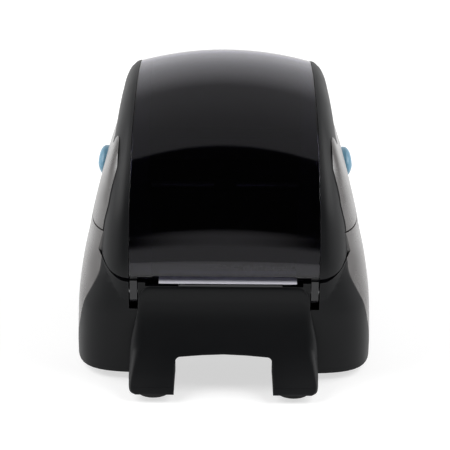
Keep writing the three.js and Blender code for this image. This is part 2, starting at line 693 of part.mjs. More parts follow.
// Steel side plates that carry the roller, the motor and the gears.
function sidePlate(side) {
  const from = side > 0 ? plateX : -(plateX + plateThickness);
  const plate = slab("x", [[64, 24], [98, 24], [98, 56], [92, 68], [92, 72.5], [64, 72.5]], from,
    from + plateThickness);
  return plate.subtract(rod("x", platenY, platenZ, -90, 90, bearingRadius + fitGap))
    .subtract(box(-90, 90, platenY - bearingRadius - fitGap, platenY + bearingRadius + fitGap, platenZ,
    90));
}
const motorClear = rod("x", motorY, motorZ, -90, -50, 7.5);
const idlerStud = rod("x", idlerY, idlerZ, gearX - 0.8, -plateX - 0.1, 2.4, 16);
const idlerFlange = rod("x", idlerY, idlerZ, gearX - 1.8, gearX - 0.4, 3.6, 16);
piece("side_plate_right", sidePlate(1), steel);
piece("side_plate_left", sidePlate(-1).subtract(motorClear).subtract(rod("x", idlerY, idlerZ, -90, -50,
  2.4 + fitGap, 16)), steel);
piece("idler_stud", joined(idlerStud, idlerFlange), steel);
piece("idler_gear", gear(idlerY, idlerZ, idlerTeeth, idlerPhase, 2.4 + boreGap), nylonWhite);
piece("motor_pinion", gear(motorY, motorZ, motorTeeth, motorPhase, 1.5 + boreGap), nylonWhite);
const motorFace = -plateX + fitGap;
piece("stepper_motor", joined(
  slab("x", roundRect(motorY, motorZ, motorSize, motorSize, 4, 2), motorFace, motorFace + motorLength),
  rod("x", motorY, motorZ, shaftEnd, motorFace + 1, 1.5, 16)), maskBlack);

// Bar across the front edge that labels are torn against, also the lower lip of the exit.
piece("tear_bar", slab("x", [
  [92.4, 70.2], [101.5, 70.2], [101.5, 72.4], [99.8, 74.6], [98.9, 75.4], [98.2, 74.4], [95.4, 72.6],
  [92.4, 72.4],
], -exitHalfWidth + 0.6, exitHalfWidth - 0.6), aluminium);

// Gap sensor that slides along a rail behind the roller.
const railY = 67.4;
const railZ = 66.5;
piece("sensor_rail", joined(rod("x", railY, railZ, -plateX + 0.4, plateX - 0.4, 2, 16)), steel);
piece("gap_sensor", box(-7, 7, railY - 4, railY + 4, railZ - 5, railZ + 5)
  .subtract(rod("x", railY, railZ, -10, 10, 2 + fitGap, 16)), connectorBlack);

// ---------------------------------------------------------------- cover
const windowReach = windowSeam - fitGap;
const windowBottom = windowRearEdge + windowLift;
const windowOpening = box(-windowSeam, windowSeam, -120, windowFrontEdge, 0, 200);
const latchShape = (grow) => Array.from({ length: 24 }, (_, k) => {
  const turn = (k / 24) * 2 * Math.PI;
  return [latchY + (latchLength / 2 + grow) * Math.cos(turn),
    latchZ + (latchHeight / 2 + grow) * Math.sin(turn)];
});
const latchHole = slab("x", latchShape(runGap), -120, 120);
const latchInnerHole = slab("x", latchShape(runGap + 1.4), -75, 75);
const wing = outerSkirt.subtract(innerSkirt).intersect(aboveParting(seamGap / 2)).subtract(core(-fitGap))
  .subtract(box(-60, 60, -120, 120, 0, 200)).subtract(latchHole);
const half = (side) => box(side > 0 ? 0 : -120, side > 0 ? 120 : 0, -120, 120, 0, 200);
piece("cover_side_right", whole(wing.intersect(half(1))), flankGrey);
piece("cover_side_left", whole(wing.intersect(half(-1))), flankGrey);

const coverFrame = outerCore.subtract(core(wall)).intersect(coverRegion)
  .subtract(windowOpening)
  .subtract(box(-exitHalfWidth, exitHalfWidth, 90, 120, 0, exitHigh))
  .subtract(latchInnerHole);
piece("cover_frame", whole(coverFrame), charcoal);

piece("window", whole(outerCore.subtract(core(windowThickness))
  .intersect(box(-windowReach, windowReach, -120, windowFrontEdge - fitGap, windowBottom, 200))),
  smoked);

// Black frame behind the window's edges; it carries the two hinge arms.
const maskInset = windowThickness + fitGap;
const maskThickness = 1.4;
const maskEdge = [[-90, 39], [-70, 40], [-30, 42.4], [40, 44], [windowFrontEdge - 12, 44]];
const maskClear = slab("z", [
  ...maskEdge.map(([y, x]) => [x, y]), ...[...maskEdge].reverse().map(([y, x]) => [-x, y]),
], 0, 200);
const armOutline = [
  [-79.4, windowRearEdge - 1], [-79.4, 48.4], [-77, 46.2], [hingeY, 45.6], [-69.8, 46.8], [-68.2, 50],
  [-68.4, 56],
  [-71.5, 63], [-74.6, 70], [-76.6, 70], [-77.3, 66], [-77.2, windowRearEdge - 1],
];
const pinClear = rod("x", hingeY, hingeZ, -60, 60, armPinRadius + runGap);
const arms = slab("x", armOutline, armInner, armInner + armWidth - fitGap)
  .add(slab("x", armOutline, -armInner - armWidth + fitGap, -armInner)).subtract(pinClear);
const maskForm = core(maskInset).subtract(core(maskInset + maskThickness))
  .intersect(box(-windowReach, windowReach, -120, windowFrontEdge - fitGap, windowRearEdge + 0.4, 200))
  .subtract(maskClear);
piece("window_mask", whole(maskForm.add(arms)), maskBlack);


// ---------------------------------------------------------------- latches
// A squeeze button in each flank. Its arm drops inside the body behind the side plate.
const latchFace = skirtHalfWidth(latchZ) + latchProud - 0.6;
const latchBack = 69.5;
const bracketX = 61.6;
const bracketReach = 63.6;
const springRadius = 4;
const wireRadius = 0.55;

// A compression spring: a round wire wound along X between two places.
function springX(y, z, from, to, turns, radius) {
  class Winding extends THREE.Curve {
    getPoint(t, target = new THREE.Vector3()) {
      const turn = t * turns * 2 * Math.PI;
      return target.set(from + (to - from) * t, y + radius * Math.cos(turn),
        z + radius * Math.sin(turn));
    }
  }
  const wire = new THREE.Shape(Array.from({ length: 5 }, (_, k) => new THREE.Vector2(
    wireRadius * Math.cos((k / 5) * 2 * Math.PI), wireRadius * Math.sin((k / 5) * 2 * Math.PI))));
  return solid(new THREE.ExtrudeGeometry(wire, { steps: Math.round(turns * 9),
    extrudePath: new Winding(), bevelEnabled: false }));
}

function latch() {
  const rises = [0, latchFace - latchBack - 3.4, latchFace - latchBack - 1.6,
    latchFace - latchBack - 0.5,
    latchFace - latchBack];
  const shrinks = [1, 1, 0.86, 0.6, 0.3];
  const dome = loft(rises.map((rise, k) => Array.from({ length: 24 }, (_, n) => {
    const turn = -(n / 24) * 2 * Math.PI;
    return [latchBack + rise, latchY + (latchLength / 2) * shrinks[k] * Math.cos(turn),
      latchZ + (latchHeight / 2) * shrinks[k] * Math.sin(turn)];
  })).reverse());
  return dome.add(box(latchBack, latchBack + 2.4, latchY - 4, latchY + 4, 64, latchZ));
}

// Channel behind the button that seats its spring.
function latchBracket() {
  const top = latchZ + 14;
  return box(bracketX, bracketX + 1.4, latchY - 8, latchY + 8, latchZ - 7, top)
    .add(box(bracketX, bracketReach, latchY - 8, latchY + 8, top - 1.4, top));
}
for (const side of [1, -1]) {
  const end = side > 0 ? "right" : "left";
  const place = (body) => (side > 0 ? body : mirrored(body));
  piece(`latch_${end}`, place(latch()), latchBlue);
  piece(`latch_bracket_${end}`, place(latchBracket()), maskBlack);
  const spring = springX(latchY, latchZ, bracketX + 1.4 + fitGap + wireRadius,
    latchBack - fitGap - wireRadius, 3, springRadius);
  piece(`latch_spring_${end}`, place(spring), steel);
}

// ---------------------------------------------------------------- printhead on the cover
const headTravel = 1.2;
const headHalfLength = 54;
const headLow = platenZ + platenRadius + 0.4;
const headBase = headLow + 9;
piece("printhead", slab("x", [
  [platenY - 9, headLow + 2.2], [platenY - 2, headLow + 0.4], [platenY + 2.4, headLow], [platenY + 6,
  headLow + 1.2],
  [platenY + 6, headLow + 2.6], [platenY - 9, headLow + 3.6],
], -headHalfLength, headHalfLength), ceramic);
let heatsink = slab("x", [
  [platenY - 12, headLow + 4], [platenY + 7, headLow + 2.95], [platenY + 7, headLow + 6.4],
  [platenY - 12, headLow + 7],
], -headHalfLength - 1, headHalfLength + 1);
for (const y of [-9, -4.4, 0.2, 4.6]) {
  heatsink = heatsink.add(box(-headHalfLength, headHalfLength, platenY + y, platenY + y + 1.2,
    headLow + 5.6, headBase));
}
piece("printhead_heatsink", heatsink, aluminium);
const mountLow = headBase + headTravel + 4.2;
const headMount = slab("x", [
  [platenY - 14, headLow + 3], [platenY - 12.6, headLow + 3], [platenY - 12.6, mountLow],
  [platenY + 10, mountLow],
  [platenY + 10, mountLow + 1.6], [platenY - 14, mountLow + 1.6],
], -58, 58);
let cheekTabs = headMount;
for (const side of [1, -1]) {
  const x0 = side > 0 ? 56.6 : -58;
  cheekTabs = cheekTabs.add(box(x0, x0 + 1.4, platenY - 14, platenY + 10, mountLow, mountLow + 16));
}
piece("printhead_mount", cheekTabs, steel);
for (const side of [1, -1]) {
  const from = headBase + fitGap + wireRadius;
  const upright = springX(platenY - 1, 0, from, mountLow - fitGap - wireRadius, 2.5, 3.2);
  const stood = upright.rotate([0, -90, 0]).translate([side * 34, 0, 0]);
  piece(side > 0 ? "head_spring_right" : "head_spring_left", stood, steel);
}

// ---------------------------------------------------------------- feet and screws
const feet = [["foot_rear_left", -38.5, -94], ["foot_rear_right", 38.5, -94], ["foot_front_left", -62,
  84],
  ["foot_front_right", 62, 84]];
for (const [name, x, y] of feet) {
  piece(name, rod("z", x, y, 0, footHeight - (y > 0 ? 0.3 : 0), footRadius, 28, footRadius - 0.6),
    rubberBlack);
}
panScrews.slice(0, 2).forEach(([x, y], k) => {

  piece(`pan_screw_${k + 1}`, rod("z", x, y, footHeight - 1.6, footHeight - fitGap, 3.2, 12).add(
    rod("z", x, y, footHeight - 0.6, footHeight + 9, 1.5, 12)), steel);
});

export default label;
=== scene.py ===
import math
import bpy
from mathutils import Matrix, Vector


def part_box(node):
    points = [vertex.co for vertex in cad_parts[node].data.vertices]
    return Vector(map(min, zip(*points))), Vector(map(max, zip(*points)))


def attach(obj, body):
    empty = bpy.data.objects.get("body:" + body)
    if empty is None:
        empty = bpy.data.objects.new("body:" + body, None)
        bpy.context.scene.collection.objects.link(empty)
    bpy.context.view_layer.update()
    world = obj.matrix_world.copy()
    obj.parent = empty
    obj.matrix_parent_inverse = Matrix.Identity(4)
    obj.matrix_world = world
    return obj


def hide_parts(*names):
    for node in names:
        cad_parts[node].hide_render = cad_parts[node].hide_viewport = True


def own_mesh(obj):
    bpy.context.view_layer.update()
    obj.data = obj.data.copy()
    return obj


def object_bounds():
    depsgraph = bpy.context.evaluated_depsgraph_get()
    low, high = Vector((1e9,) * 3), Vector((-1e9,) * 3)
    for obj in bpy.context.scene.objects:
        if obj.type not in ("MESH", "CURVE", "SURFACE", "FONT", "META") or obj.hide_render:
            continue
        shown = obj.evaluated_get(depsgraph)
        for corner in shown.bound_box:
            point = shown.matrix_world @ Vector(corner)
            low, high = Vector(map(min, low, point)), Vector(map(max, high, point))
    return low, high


bl_info = {
    "name": "Label printer looks",
    "version": (1, 0, 0),
    "blender": (4, 5, 0),
    "location": "View3D > Sidebar > Label printer",
    "description": "Builds the visible shells, window, trims and finishes of a desktop label printer",
    "category": "Object",
}

import bmesh
import bpy
from mathutils import Matrix, Vector

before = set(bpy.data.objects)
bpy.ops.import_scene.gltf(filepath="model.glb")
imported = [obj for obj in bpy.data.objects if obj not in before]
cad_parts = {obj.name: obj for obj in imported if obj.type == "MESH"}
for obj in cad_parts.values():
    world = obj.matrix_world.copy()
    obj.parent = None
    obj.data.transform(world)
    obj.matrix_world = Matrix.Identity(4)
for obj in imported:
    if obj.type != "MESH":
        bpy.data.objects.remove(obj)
cad_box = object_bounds()

MM = 0.001
FULL_TURN = 2 * math.pi


def node_box(node):
    """Lowest and highest corner of a CAD node, in millimetres."""
    low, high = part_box(node)
    return low / MM, high / MM


# ---------------------------------------------------------------- sizes shared by the shells
LOW, HIGH = Vector(cad_box[0]) / MM, Vector(cad_box[1]) / MM
BODY_HALF = HIGH.x
HEIGHT = HIGH.z
FRONT = HIGH.y
REAR_FACE = -80
SKIRT_CENTRE = 20
SKIRT_LOW = node_box("rear_housing")[0].z
SEAM = 52.5
SEAM_GAP = 0.8
FIT_GAP = 0.3
WALL = 2.6
COVER_LOW = 60.4
WINDOW_LOW = node_box("window")[0].z
WINDOW_FRONT = node_box("window")[1].y
GLASS = 2.2
CROWN = 7.4
CHEEK_ROUND = 26
DROP_FRONT = -61.5
PANEL = 1.4
TAIL_TOP = 56.2
LEG_INNER = 27
ARCH_TOP = 19.5
HINGE_Y = -73.5
HINGE_Z = 52
ARM_INNER = 48
ARM_WIDTH = 4.2
SLOT_LOW = 42.6


# ---------------------------------------------------------------- curves
def smooth(stops):
    """A smooth curve through (t, value) stops, level beyond both ends."""
    count = len(stops)
    slopes = []
    for k in range(count):
        before, after = stops[max(k - 1, 0)], stops[min(k + 1, count - 1)]
        slopes.append((after[1] - before[1]) / (after[0] - before[0]))

    def value(t):
        if t <= stops[0][0]:
            return stops[0][1]
        if t >= stops[-1][0]:
            return stops[-1][1]
        k = next(i for i in range(1, count) if t <= stops[i][0])
        (t0, v0), (t1, v1) = stops[k - 1], stops[k]
        span = t1 - t0
        u = (t - t0) / span
        u2, u3 = u * u, u * u * u
        start = (2 * u3 - 3 * u2 + 1) * v0 + (u3 - 2 * u2 + u) * span * slopes[k - 1]
        return start + (3 * u2 - 2 * u3) * v1 + (u3 - u2) * span * slopes[k]

    return value


def path_points(stops, steps):
    """Points and unit tangents along a centripetal spline through (a, b) stops."""
    pts = [Vector(p) for p in stops]
    pts = [pts[0] * 2 - pts[1]] + pts + [pts[-1] * 2 - pts[-2]]
    spans = len(stops) - 1
    found = []
    for k in range(steps + 1):
        t = k / steps * spans
        i = min(int(t), spans - 1)
        u = t - i
        p0, p1, p2, p3 = pts[i : i + 4]
        d0, d1, d2 = ((b - a).length ** 0.5 for a, b in ((p0, p1), (p1, p2), (p2, p3)))
        m1 = ((p1 - p0) / d0 - (p2 - p0) / (d0 + d1) + (p2 - p1) / d1) * d1
        m2 = ((p2 - p1) / d1 - (p3 - p1) / (d1 + d2) + (p3 - p2) / d2) * d1
        c2 = p2 * 3 - p1 * 3 - m1 * 2 - m2
        c3 = p1 * 2 - p2 * 2 + m1 + m2
        point = p1 + m1 * u + c2 * u * u + c3 * u ** 3
        along = m1 + c2 * 2 * u + c3 * 3 * u * u
        found.append((point, along.normalized()))
    return found


# ---------------------------------------------------------------- meshes, in millimetres until placed
def new_mesh(name, verts, faces):
    mesh = bpy.data.meshes.new(name)
    mesh.from_pydata([tuple(v) for v in verts], [], faces)
    piece = bpy.data.objects.new(name, mesh)
    bpy.context.scene.collection.objects.link(piece)
    work = bmesh.new()
    work.from_mesh(mesh)
    bmesh.ops.recalc_face_normals(work, faces=work.faces)
    work.to_mesh(mesh)
    work.free()
    return piece


def loft(name, rings):
    """A closed solid through rings with equal point counts."""
    count = len(rings[0])
    verts = [p for ring in rings for p in ring]
    faces = []
    for r in range(len(rings) - 1):
        for k in range(count):
            a, b = r * count + k, r * count + (k + 1) % count
            faces.append((a, b, b + count, a + count))
    for ring, start in ((rings[0], 0), (rings[-1], (len(rings) - 1) * count)):
        middle = len(verts)
        verts.append([sum(p[i] for p in ring) / count for i in range(3)])
        faces += [(start + k, start + (k + 1) % count, middle) for k in range(count)]
    return new_mesh(name, verts, faces)


AXES = {"x": (1, 2, 0), "y": (0, 2, 1), "z": (0, 1, 2)}


def slab(name, axis, outline, low, high):
    """A flat outline of (a, b) points pushed along an axis."""
    ia, ib, ic = AXES[axis]

    def place(point, level):
        spot = [0, 0, 0]
        spot[ia], spot[ib], spot[ic] = point[0], point[1], level
        return spot

    count = len(outline)
    verts = [place(p, low) for p in outline] + [place(p, high) for p in outline]
    faces = [tuple(range(count)), tuple(range(2 * count - 1, count - 1, -1))]
    faces += [(k, (k + 1) % count, (k + 1) % count + count, k + count) for k in range(count)]
    return new_mesh(name, verts, faces)


def block(name, x0, x1, y0, y1, z0, z1):
    return slab(name, "z", [(x0, y0), (x1, y0), (x1, y1), (x0, y1)], z0, z1)


def rod(name, axis, centre, low, high, radius, sides=48):
    ring = [(centre[0] + radius * math.cos(k / sides * FULL_TURN),
        centre[1] + radius * math.sin(k / sides * FULL_TURN))
            for k in range(sides)]
    return slab(name, axis, ring, low, high)


def round_rect(cx, cy, width, height, radius, steps=8):
    points = []
    for sx, sy, quarter in ((1, 1, 0), (-1, 1, 1), (-1, -1, 2), (1, -1, 3)):
        for k in range(steps + 1):
            turn = (quarter + k / steps) * math.pi / 2
            points.append((cx + sx * (width / 2 - radius) + radius * math.cos(turn),
                           cy + sy * (height / 2 - radius) + radius * math.sin(turn)))
    return points


def combine(target, other, operation):
    """Joins, cuts or intersects target with other, and removes other."""
    step = target.modifiers.new("cut", "BOOLEAN")
    step.operation = operation
    step.solver = "MANIFOLD"
    step.object = other
    graph = bpy.context.evaluated_depsgraph_get()
    made = bpy.data.meshes.new_from_object(target.evaluated_get(graph))
    target.modifiers.clear()
    old = target.data
    target.data = made
    bpy.data.meshes.remove(old)
    drop(other)
    return target


def drop(piece):
    mesh = piece.data
    bpy.data.objects.remove(piece)
    bpy.data.meshes.remove(mesh)


def cut(target, *others):
    for other in others:
        combine(target, other, "DIFFERENCE")
    return target


def add(target, *others):
    for other in others:
        combine(target, other, "UNION")
    return target


def within(target, other):
    return combine(target, other, "INTERSECT")


def copy_of(piece, name="copy"):
    twin = bpy.data.objects.new(name, piece.data.copy())
    bpy.context.scene.collection.objects.link(twin)
    return twin


def largest_only(piece):
    """Leaves out the loose slivers of a cut."""
    work = bmesh.new()
    work.from_mesh(piece.data)
    seen, groups = set(), []
    for vert in work.verts:
        if vert in seen:
            continue
        stack, group = [vert], []
        seen.add(vert)
        while stack:
            v = stack.pop()
            group.append(v)
            for edge in v.link_edges:
                other = edge.other_vert(v)
                if other not in seen:
                    seen.add(other)
                    stack.append(other)
        groups.append(group)
    groups.sort(key=len)
    bmesh.ops.delete(work, geom=[v for g in groups[:-1] for v in g], context="VERTS")
    work.to_mesh(piece.data)
    work.free()
    return piece


def place(piece, name, body, slot, material, replaced=(), sharp=30, edge=0.0):
    """Scales a finished piece to metres, shades it and puts it on its body."""
    piece.name = name
    piece.data.name = name
    piece.data.transform(Matrix.Scale(MM, 4))
    work = bmesh.new()
    work.from_mesh(piece.data)
    bmesh.ops.remove_doubles(work, verts=work.verts, dist=2e-6)
    bmesh.ops.dissolve_degenerate(work, edges=work.edges, dist=2e-6)
    work.to_mesh(piece.data)
    work.free()
    if edge:
        soften = piece.modifiers.new("soft edges", "BEVEL")
        soften.width = edge * MM
        soften.segments = 2
        soften.limit_method = "ANGLE"
        soften.angle_limit = math.radians(38)
        soften.use_clamp_overlap = True
        soften.harden_normals = False
    piece.data.shade_smooth()
    piece.data.set_sharp_from_angle(angle=math.radians(sharp))
    piece.data.materials.clear()
    piece.data.materials.append(material)
    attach(piece, body)
    for node in replaced:
        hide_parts(node)
    return piece


# ---------------------------------------------------------------- outer form of the body and cover
skirt_half = smooth([
    (4, BODY_HALF), (12, BODY_HALF), (33, 84.2), (46, 83.1), (58, 81.4), (70, 78.7),
    (82, 76.2), (99, 71.5), (121, 63.7), (130, 60), (138, 55),
])
skirt_rear = smooth([
    (46, REAR_FACE + 0.4), (58, -79), (70, -75), (82, -73.6), (99, -68.7), (121, -48), (138, -14),
])
skirt_front = smooth([(4, 105), (45, FRONT), (82, 104.8), (99, 101.5), (121, 92), (138, 76)])
skirt_square = smooth([(40, 7), (58, 5.6), (99, 5.5), (121, 8)])
cheek_half = smooth([(59, 69.8), (70, 69.6), (82, 68.8), (99, 66.5), (121, 64.4), (150, 61.9)])
CORE_STOPS = [
    (-78.4, 46), (-79.6, 59), (-80, 68), (-76.8, 82), (-70.4, 100), (-55, 120), (-30, 137.4), (0, 148.8),
    (26, 154.4), (46, HEIGHT), (66, 154.8), (84, 149.6), (96, 137), (102.5, 120), (105, 98), (106, 78),
        (106, 46),
]
PARTING = [(120, 78), (88, 78), (60, 75), (20, 77.6), (-40, 81.2), (DROP_FRONT, 82)]
SKIRT_SIDES = 168
SKIRT_STEP = 2.0
CORE_STEPS = 132
CORE_SPREAD = 14


def skirt(name, inset, low=SKIRT_LOW, high=136.0):
    """The lower body: rounded rectangles that follow the height."""
    steps = max(int((high - low) / SKIRT_STEP), 1)
    rings = []
    for r in range(steps + 1):
        z = low + (high - low) * r / steps
        h, n = skirt_half(z) - inset, skirt_square(z)
        back = SKIRT_CENTRE - skirt_rear(z) - inset
        ahead = skirt_front(z) - inset - SKIRT_CENTRE
        ring = []
        for k in range(SKIRT_SIDES):
            turn = k / SKIRT_SIDES * FULL_TURN
            c, s = math.cos(turn), math.sin(turn)
            reach = (abs(c) ** n + abs(s) ** n) ** (-1 / n)
            ring.append((h * c * reach, SKIRT_CENTRE + (back if s < 0 else ahead) * s * reach, z))
        rings.append(ring)
    return loft(name, rings)


CORE_PATH = path_points(CORE_STOPS, CORE_STEPS)


def core_profile(inset, lowered):
    """The arched side profile, set in along its normal and lowered towards the sides."""
    scale = 1 - lowered / (HEIGHT - COVER_LOW)
    profile = []
    for k, (point, along) in enumerate(CORE_PATH):
        share = k / CORE_STEPS
        ease = 1 - 0.45 * min(max((share - 0.6) / 0.15, 0), 1) if inset > 4 else 1
        depth = inset * ease if inset > 4 else inset
        y = point.x + along.y * depth
        z = max(point.y - along.x * depth, 46)
        if z > COVER_LOW:
            z = COVER_LOW + (z - COVER_LOW) * scale
        profile.append((y, z))
    return profile


def crown_drop(x):
    return CROWN * (x / SEAM) ** 2


def core(name, inset):
    """The arched core: window in the middle and a round cheek on each side."""
    xs = [SEAM * (k / CORE_SPREAD) for k in range(-CORE_SPREAD + 1, CORE_SPREAD)]
    rounds = [CHEEK_ROUND * (k / CORE_SPREAD) ** 1.7 for k in range(CORE_SPREAD + 1)]
    side = []
    for o in rounds:
        bulge = math.sqrt(1 - (1 - o / CHEEK_ROUND) ** 2)
        profile = core_profile(inset + o, CROWN)
        root = SEAM - inset * 0.2
        side.append([(root + (cheek_half(z) - SEAM - inset * 0.8) * bulge, y, z) for y, z in profile])
    rings = [[(-x, y, z) for x, y, z in ring] for ring in reversed(side)]
    rings += [[(x, y, z) for y, z in core_profile(inset, crown_drop(x))] for x in xs]
    rings += side
    return loft(name, rings)


def above_parting(gap):
    line = [(y, z + gap) for y, z in PARTING]
    curve = smooth(sorted(line))
    first, last = -61.5, 120
    fine = [(last - (last - first) * k / 60, curve(last - (last - first) * k / 60)) for k in range(61)]
    return slab("above", "x", fine + [(-70, 82 + gap), (-70, 190), (120, 190)], -120, 120)


def rear_drop(gap, hinge_ease=0.0):
    """The cover's hanging rear end, level behind the window and rising round both corners."""
    stops = [
        (46, COVER_LOW + gap - hinge_ease), (56, COVER_LOW + 0.7 + gap - hinge_ease),
        (61, COVER_LOW + 2.1 + gap - hinge_ease * 0.4), (64.6, COVER_LOW + 4.4 + gap),
        (67.4 - gap, 68.4 + gap), (71.5 - gap, 74 + gap),
    ]
    curve = smooth(stops)
    right = [(46 + (71.5 - gap - 46) * k / 24, curve(46 + (71.5 - gap - 46) * k / 24)) for k in range(25)]
    right.append((71.5 - gap, 190))
    outline = right + [(-x, z) for x, z in reversed(right)]
    return slab("drop", "y", outline, -120, DROP_FRONT - gap)


def cover_region():
    return add(above_parting(SEAM_GAP / 2), rear_drop(SEAM_GAP / 2))


def body_region():
    whole = block("region", -121, 121, -121, 121, -10, 190.5)
    return cut(whole, above_parting(-SEAM_GAP / 2), rear_drop(-SEAM_GAP / 2, 1.6))


FLANK_LINE = [
    (-64, 84), (-65, 70), (-69, 60), (-67, 46), (-60, 28), (-52, 17), (-44, 10), (-30, 7),
    (70, 7), (88, 14), (97, 30), (97, 60), (92, 84),
]


def flank_region(gap, side):
    line = [(y + (gap if y < 10 else -gap), z + gap if z < 40 else z) for y, z in FLANK_LINE]
    fine = [tuple(p) for p, _ in path_points([Vector(p) for p in line], 90)]
    return slab("flank", "x", fine, 45 if side > 0 else -120, 120 if side > 0 else -45)


def front_region(gap, low=96):
    return slab("front", "y", round_rect(0, 41, 124 - 2 * gap, 58 - 2 * gap, 8 - gap), low, 120)


# ---------------------------------------------------------------- tail and its two legs
def tail(inset, floor=0.0):
    """The sloping tail that ends in two legs; its sides are round and flare towards the floor."""
    rows = [
        (-66, TAIL_TOP, 47.4), (-79.2, TAIL_TOP, 47.4), (-79.9, 47, 48.4), (-81.3, 40, 50),
            (-84.5, 32, 51.6),
        (-90, 22, 52), (-98, 12.5, 52), (-105, 6.4, 51), (LOW.y, SKIRT_LOW + 0.3, 48),
    ]
    rings = []
    fine = path_points([Vector(r) for r in rows], 72)
    low = SKIRT_LOW + 0.3 + floor
    for point, _ in fine:
        y, z, half = point
        h = half - inset
        back = max(y, LOW.y) + (inset if y < -70 else 0)
        high = max(z - inset * 0.4, low + 0.1)
        tall = (high - low) / 2
        soft = min(9, tall * 0.9)
        ring = []
        for sx, sz, quarter in ((1, 1, 0), (-1, 1, 1), (-1, -1, 2), (1, -1, 3)):
            for k in range(7):
                turn = (quarter + k / 6) * math.pi / 2
                x = sx * (h - soft * 0.75) + soft * 0.75 * math.cos(turn)
                up = (low + high) / 2 + sz * (tall - soft) + soft * math.sin(turn)
                ring.append((x, back, up))
        rings.append(ring)
    return loft("tail", rings)


def arch_cut():
    top = ARCH_TOP
    right = [(LEG_INNER, -2), (LEG_INNER, top - 3.4)]
    right += [(LEG_INNER - 3 + 3 * math.cos(a), top - 3.4 + 3.4 * math.sin(a))
              for a in (k / 8 * math.pi / 2 for k in range(1, 9))]
    right += [(12, top + 0.8), (0, top + 1.2)]
    return slab("arch", "y", right + [(-x, z) for x, z in reversed(right[:-1])], -115, -70)


# ---------------------------------------------------------------- shader groups
def group_start(name, inputs, outputs):
    group = bpy.data.node_groups.new(name, "ShaderNodeTree")
    for label, kind, default in inputs:
        socket = group.interface.new_socket(label, in_out="INPUT", socket_type=kind)
        socket.default_value = default
    for label, kind in outputs:
        group.interface.new_socket(label, in_out="OUTPUT", socket_type=kind)
    return group, group.nodes.new("NodeGroupInput"), group.nodes.new("NodeGroupOutput")


def math_node(tree, operation, a, b=None, c=None):
    node = tree.nodes.new("ShaderNodeMath")
    node.operation = operation
    for k, value in enumerate((a, b, c)):
        if value is None:
            continue
        if isinstance(value, bpy.types.NodeSocket):
            tree.links.new(value, node.inputs[k])
        else:
            node.inputs[k].default_value = value
    return node.outputs[0]


def noise_node(tree, scale, detail, vector, roughness=0.5):
    node = tree.nodes.new("ShaderNodeTexNoise")
    node.inputs["Detail"].default_value = detail
    node.inputs["Roughness"].default_value = roughness
    if isinstance(scale, bpy.types.NodeSocket):
        tree.links.new(scale, node.inputs["Scale"])
    else:
        node.inputs["Scale"].default_value = scale
    tree.links.new(vector, node.inputs["Vector"])
    return node.outputs["Fac"]


def mix_colour(tree, factor, a, b):
    node = tree.nodes.new("ShaderNodeMix")
    node.data_type = "RGBA"
    for socket, value in ((node.inputs["Factor"], factor), (node.inputs["A"], a), (node.inputs["B"], b)):
        if isinstance(value, bpy.types.NodeSocket):
            tree.links.new(value, socket)
        else:
            socket.default_value = value
    return node.outputs["Result"]


def spread(tree, value, low, high, out_low, out_high):
    node = tree.nodes.new("ShaderNodeMapRange")
    node.interpolation_type = "SMOOTHSTEP"
    tree.links.new(value, node.inputs["Value"])
    for label, number in (("From Min", low), ("From Max", high), ("To Min", out_low),
        ("To Max", out_high)):
        node.inputs[label].default_value = number
    return node.outputs["Result"]


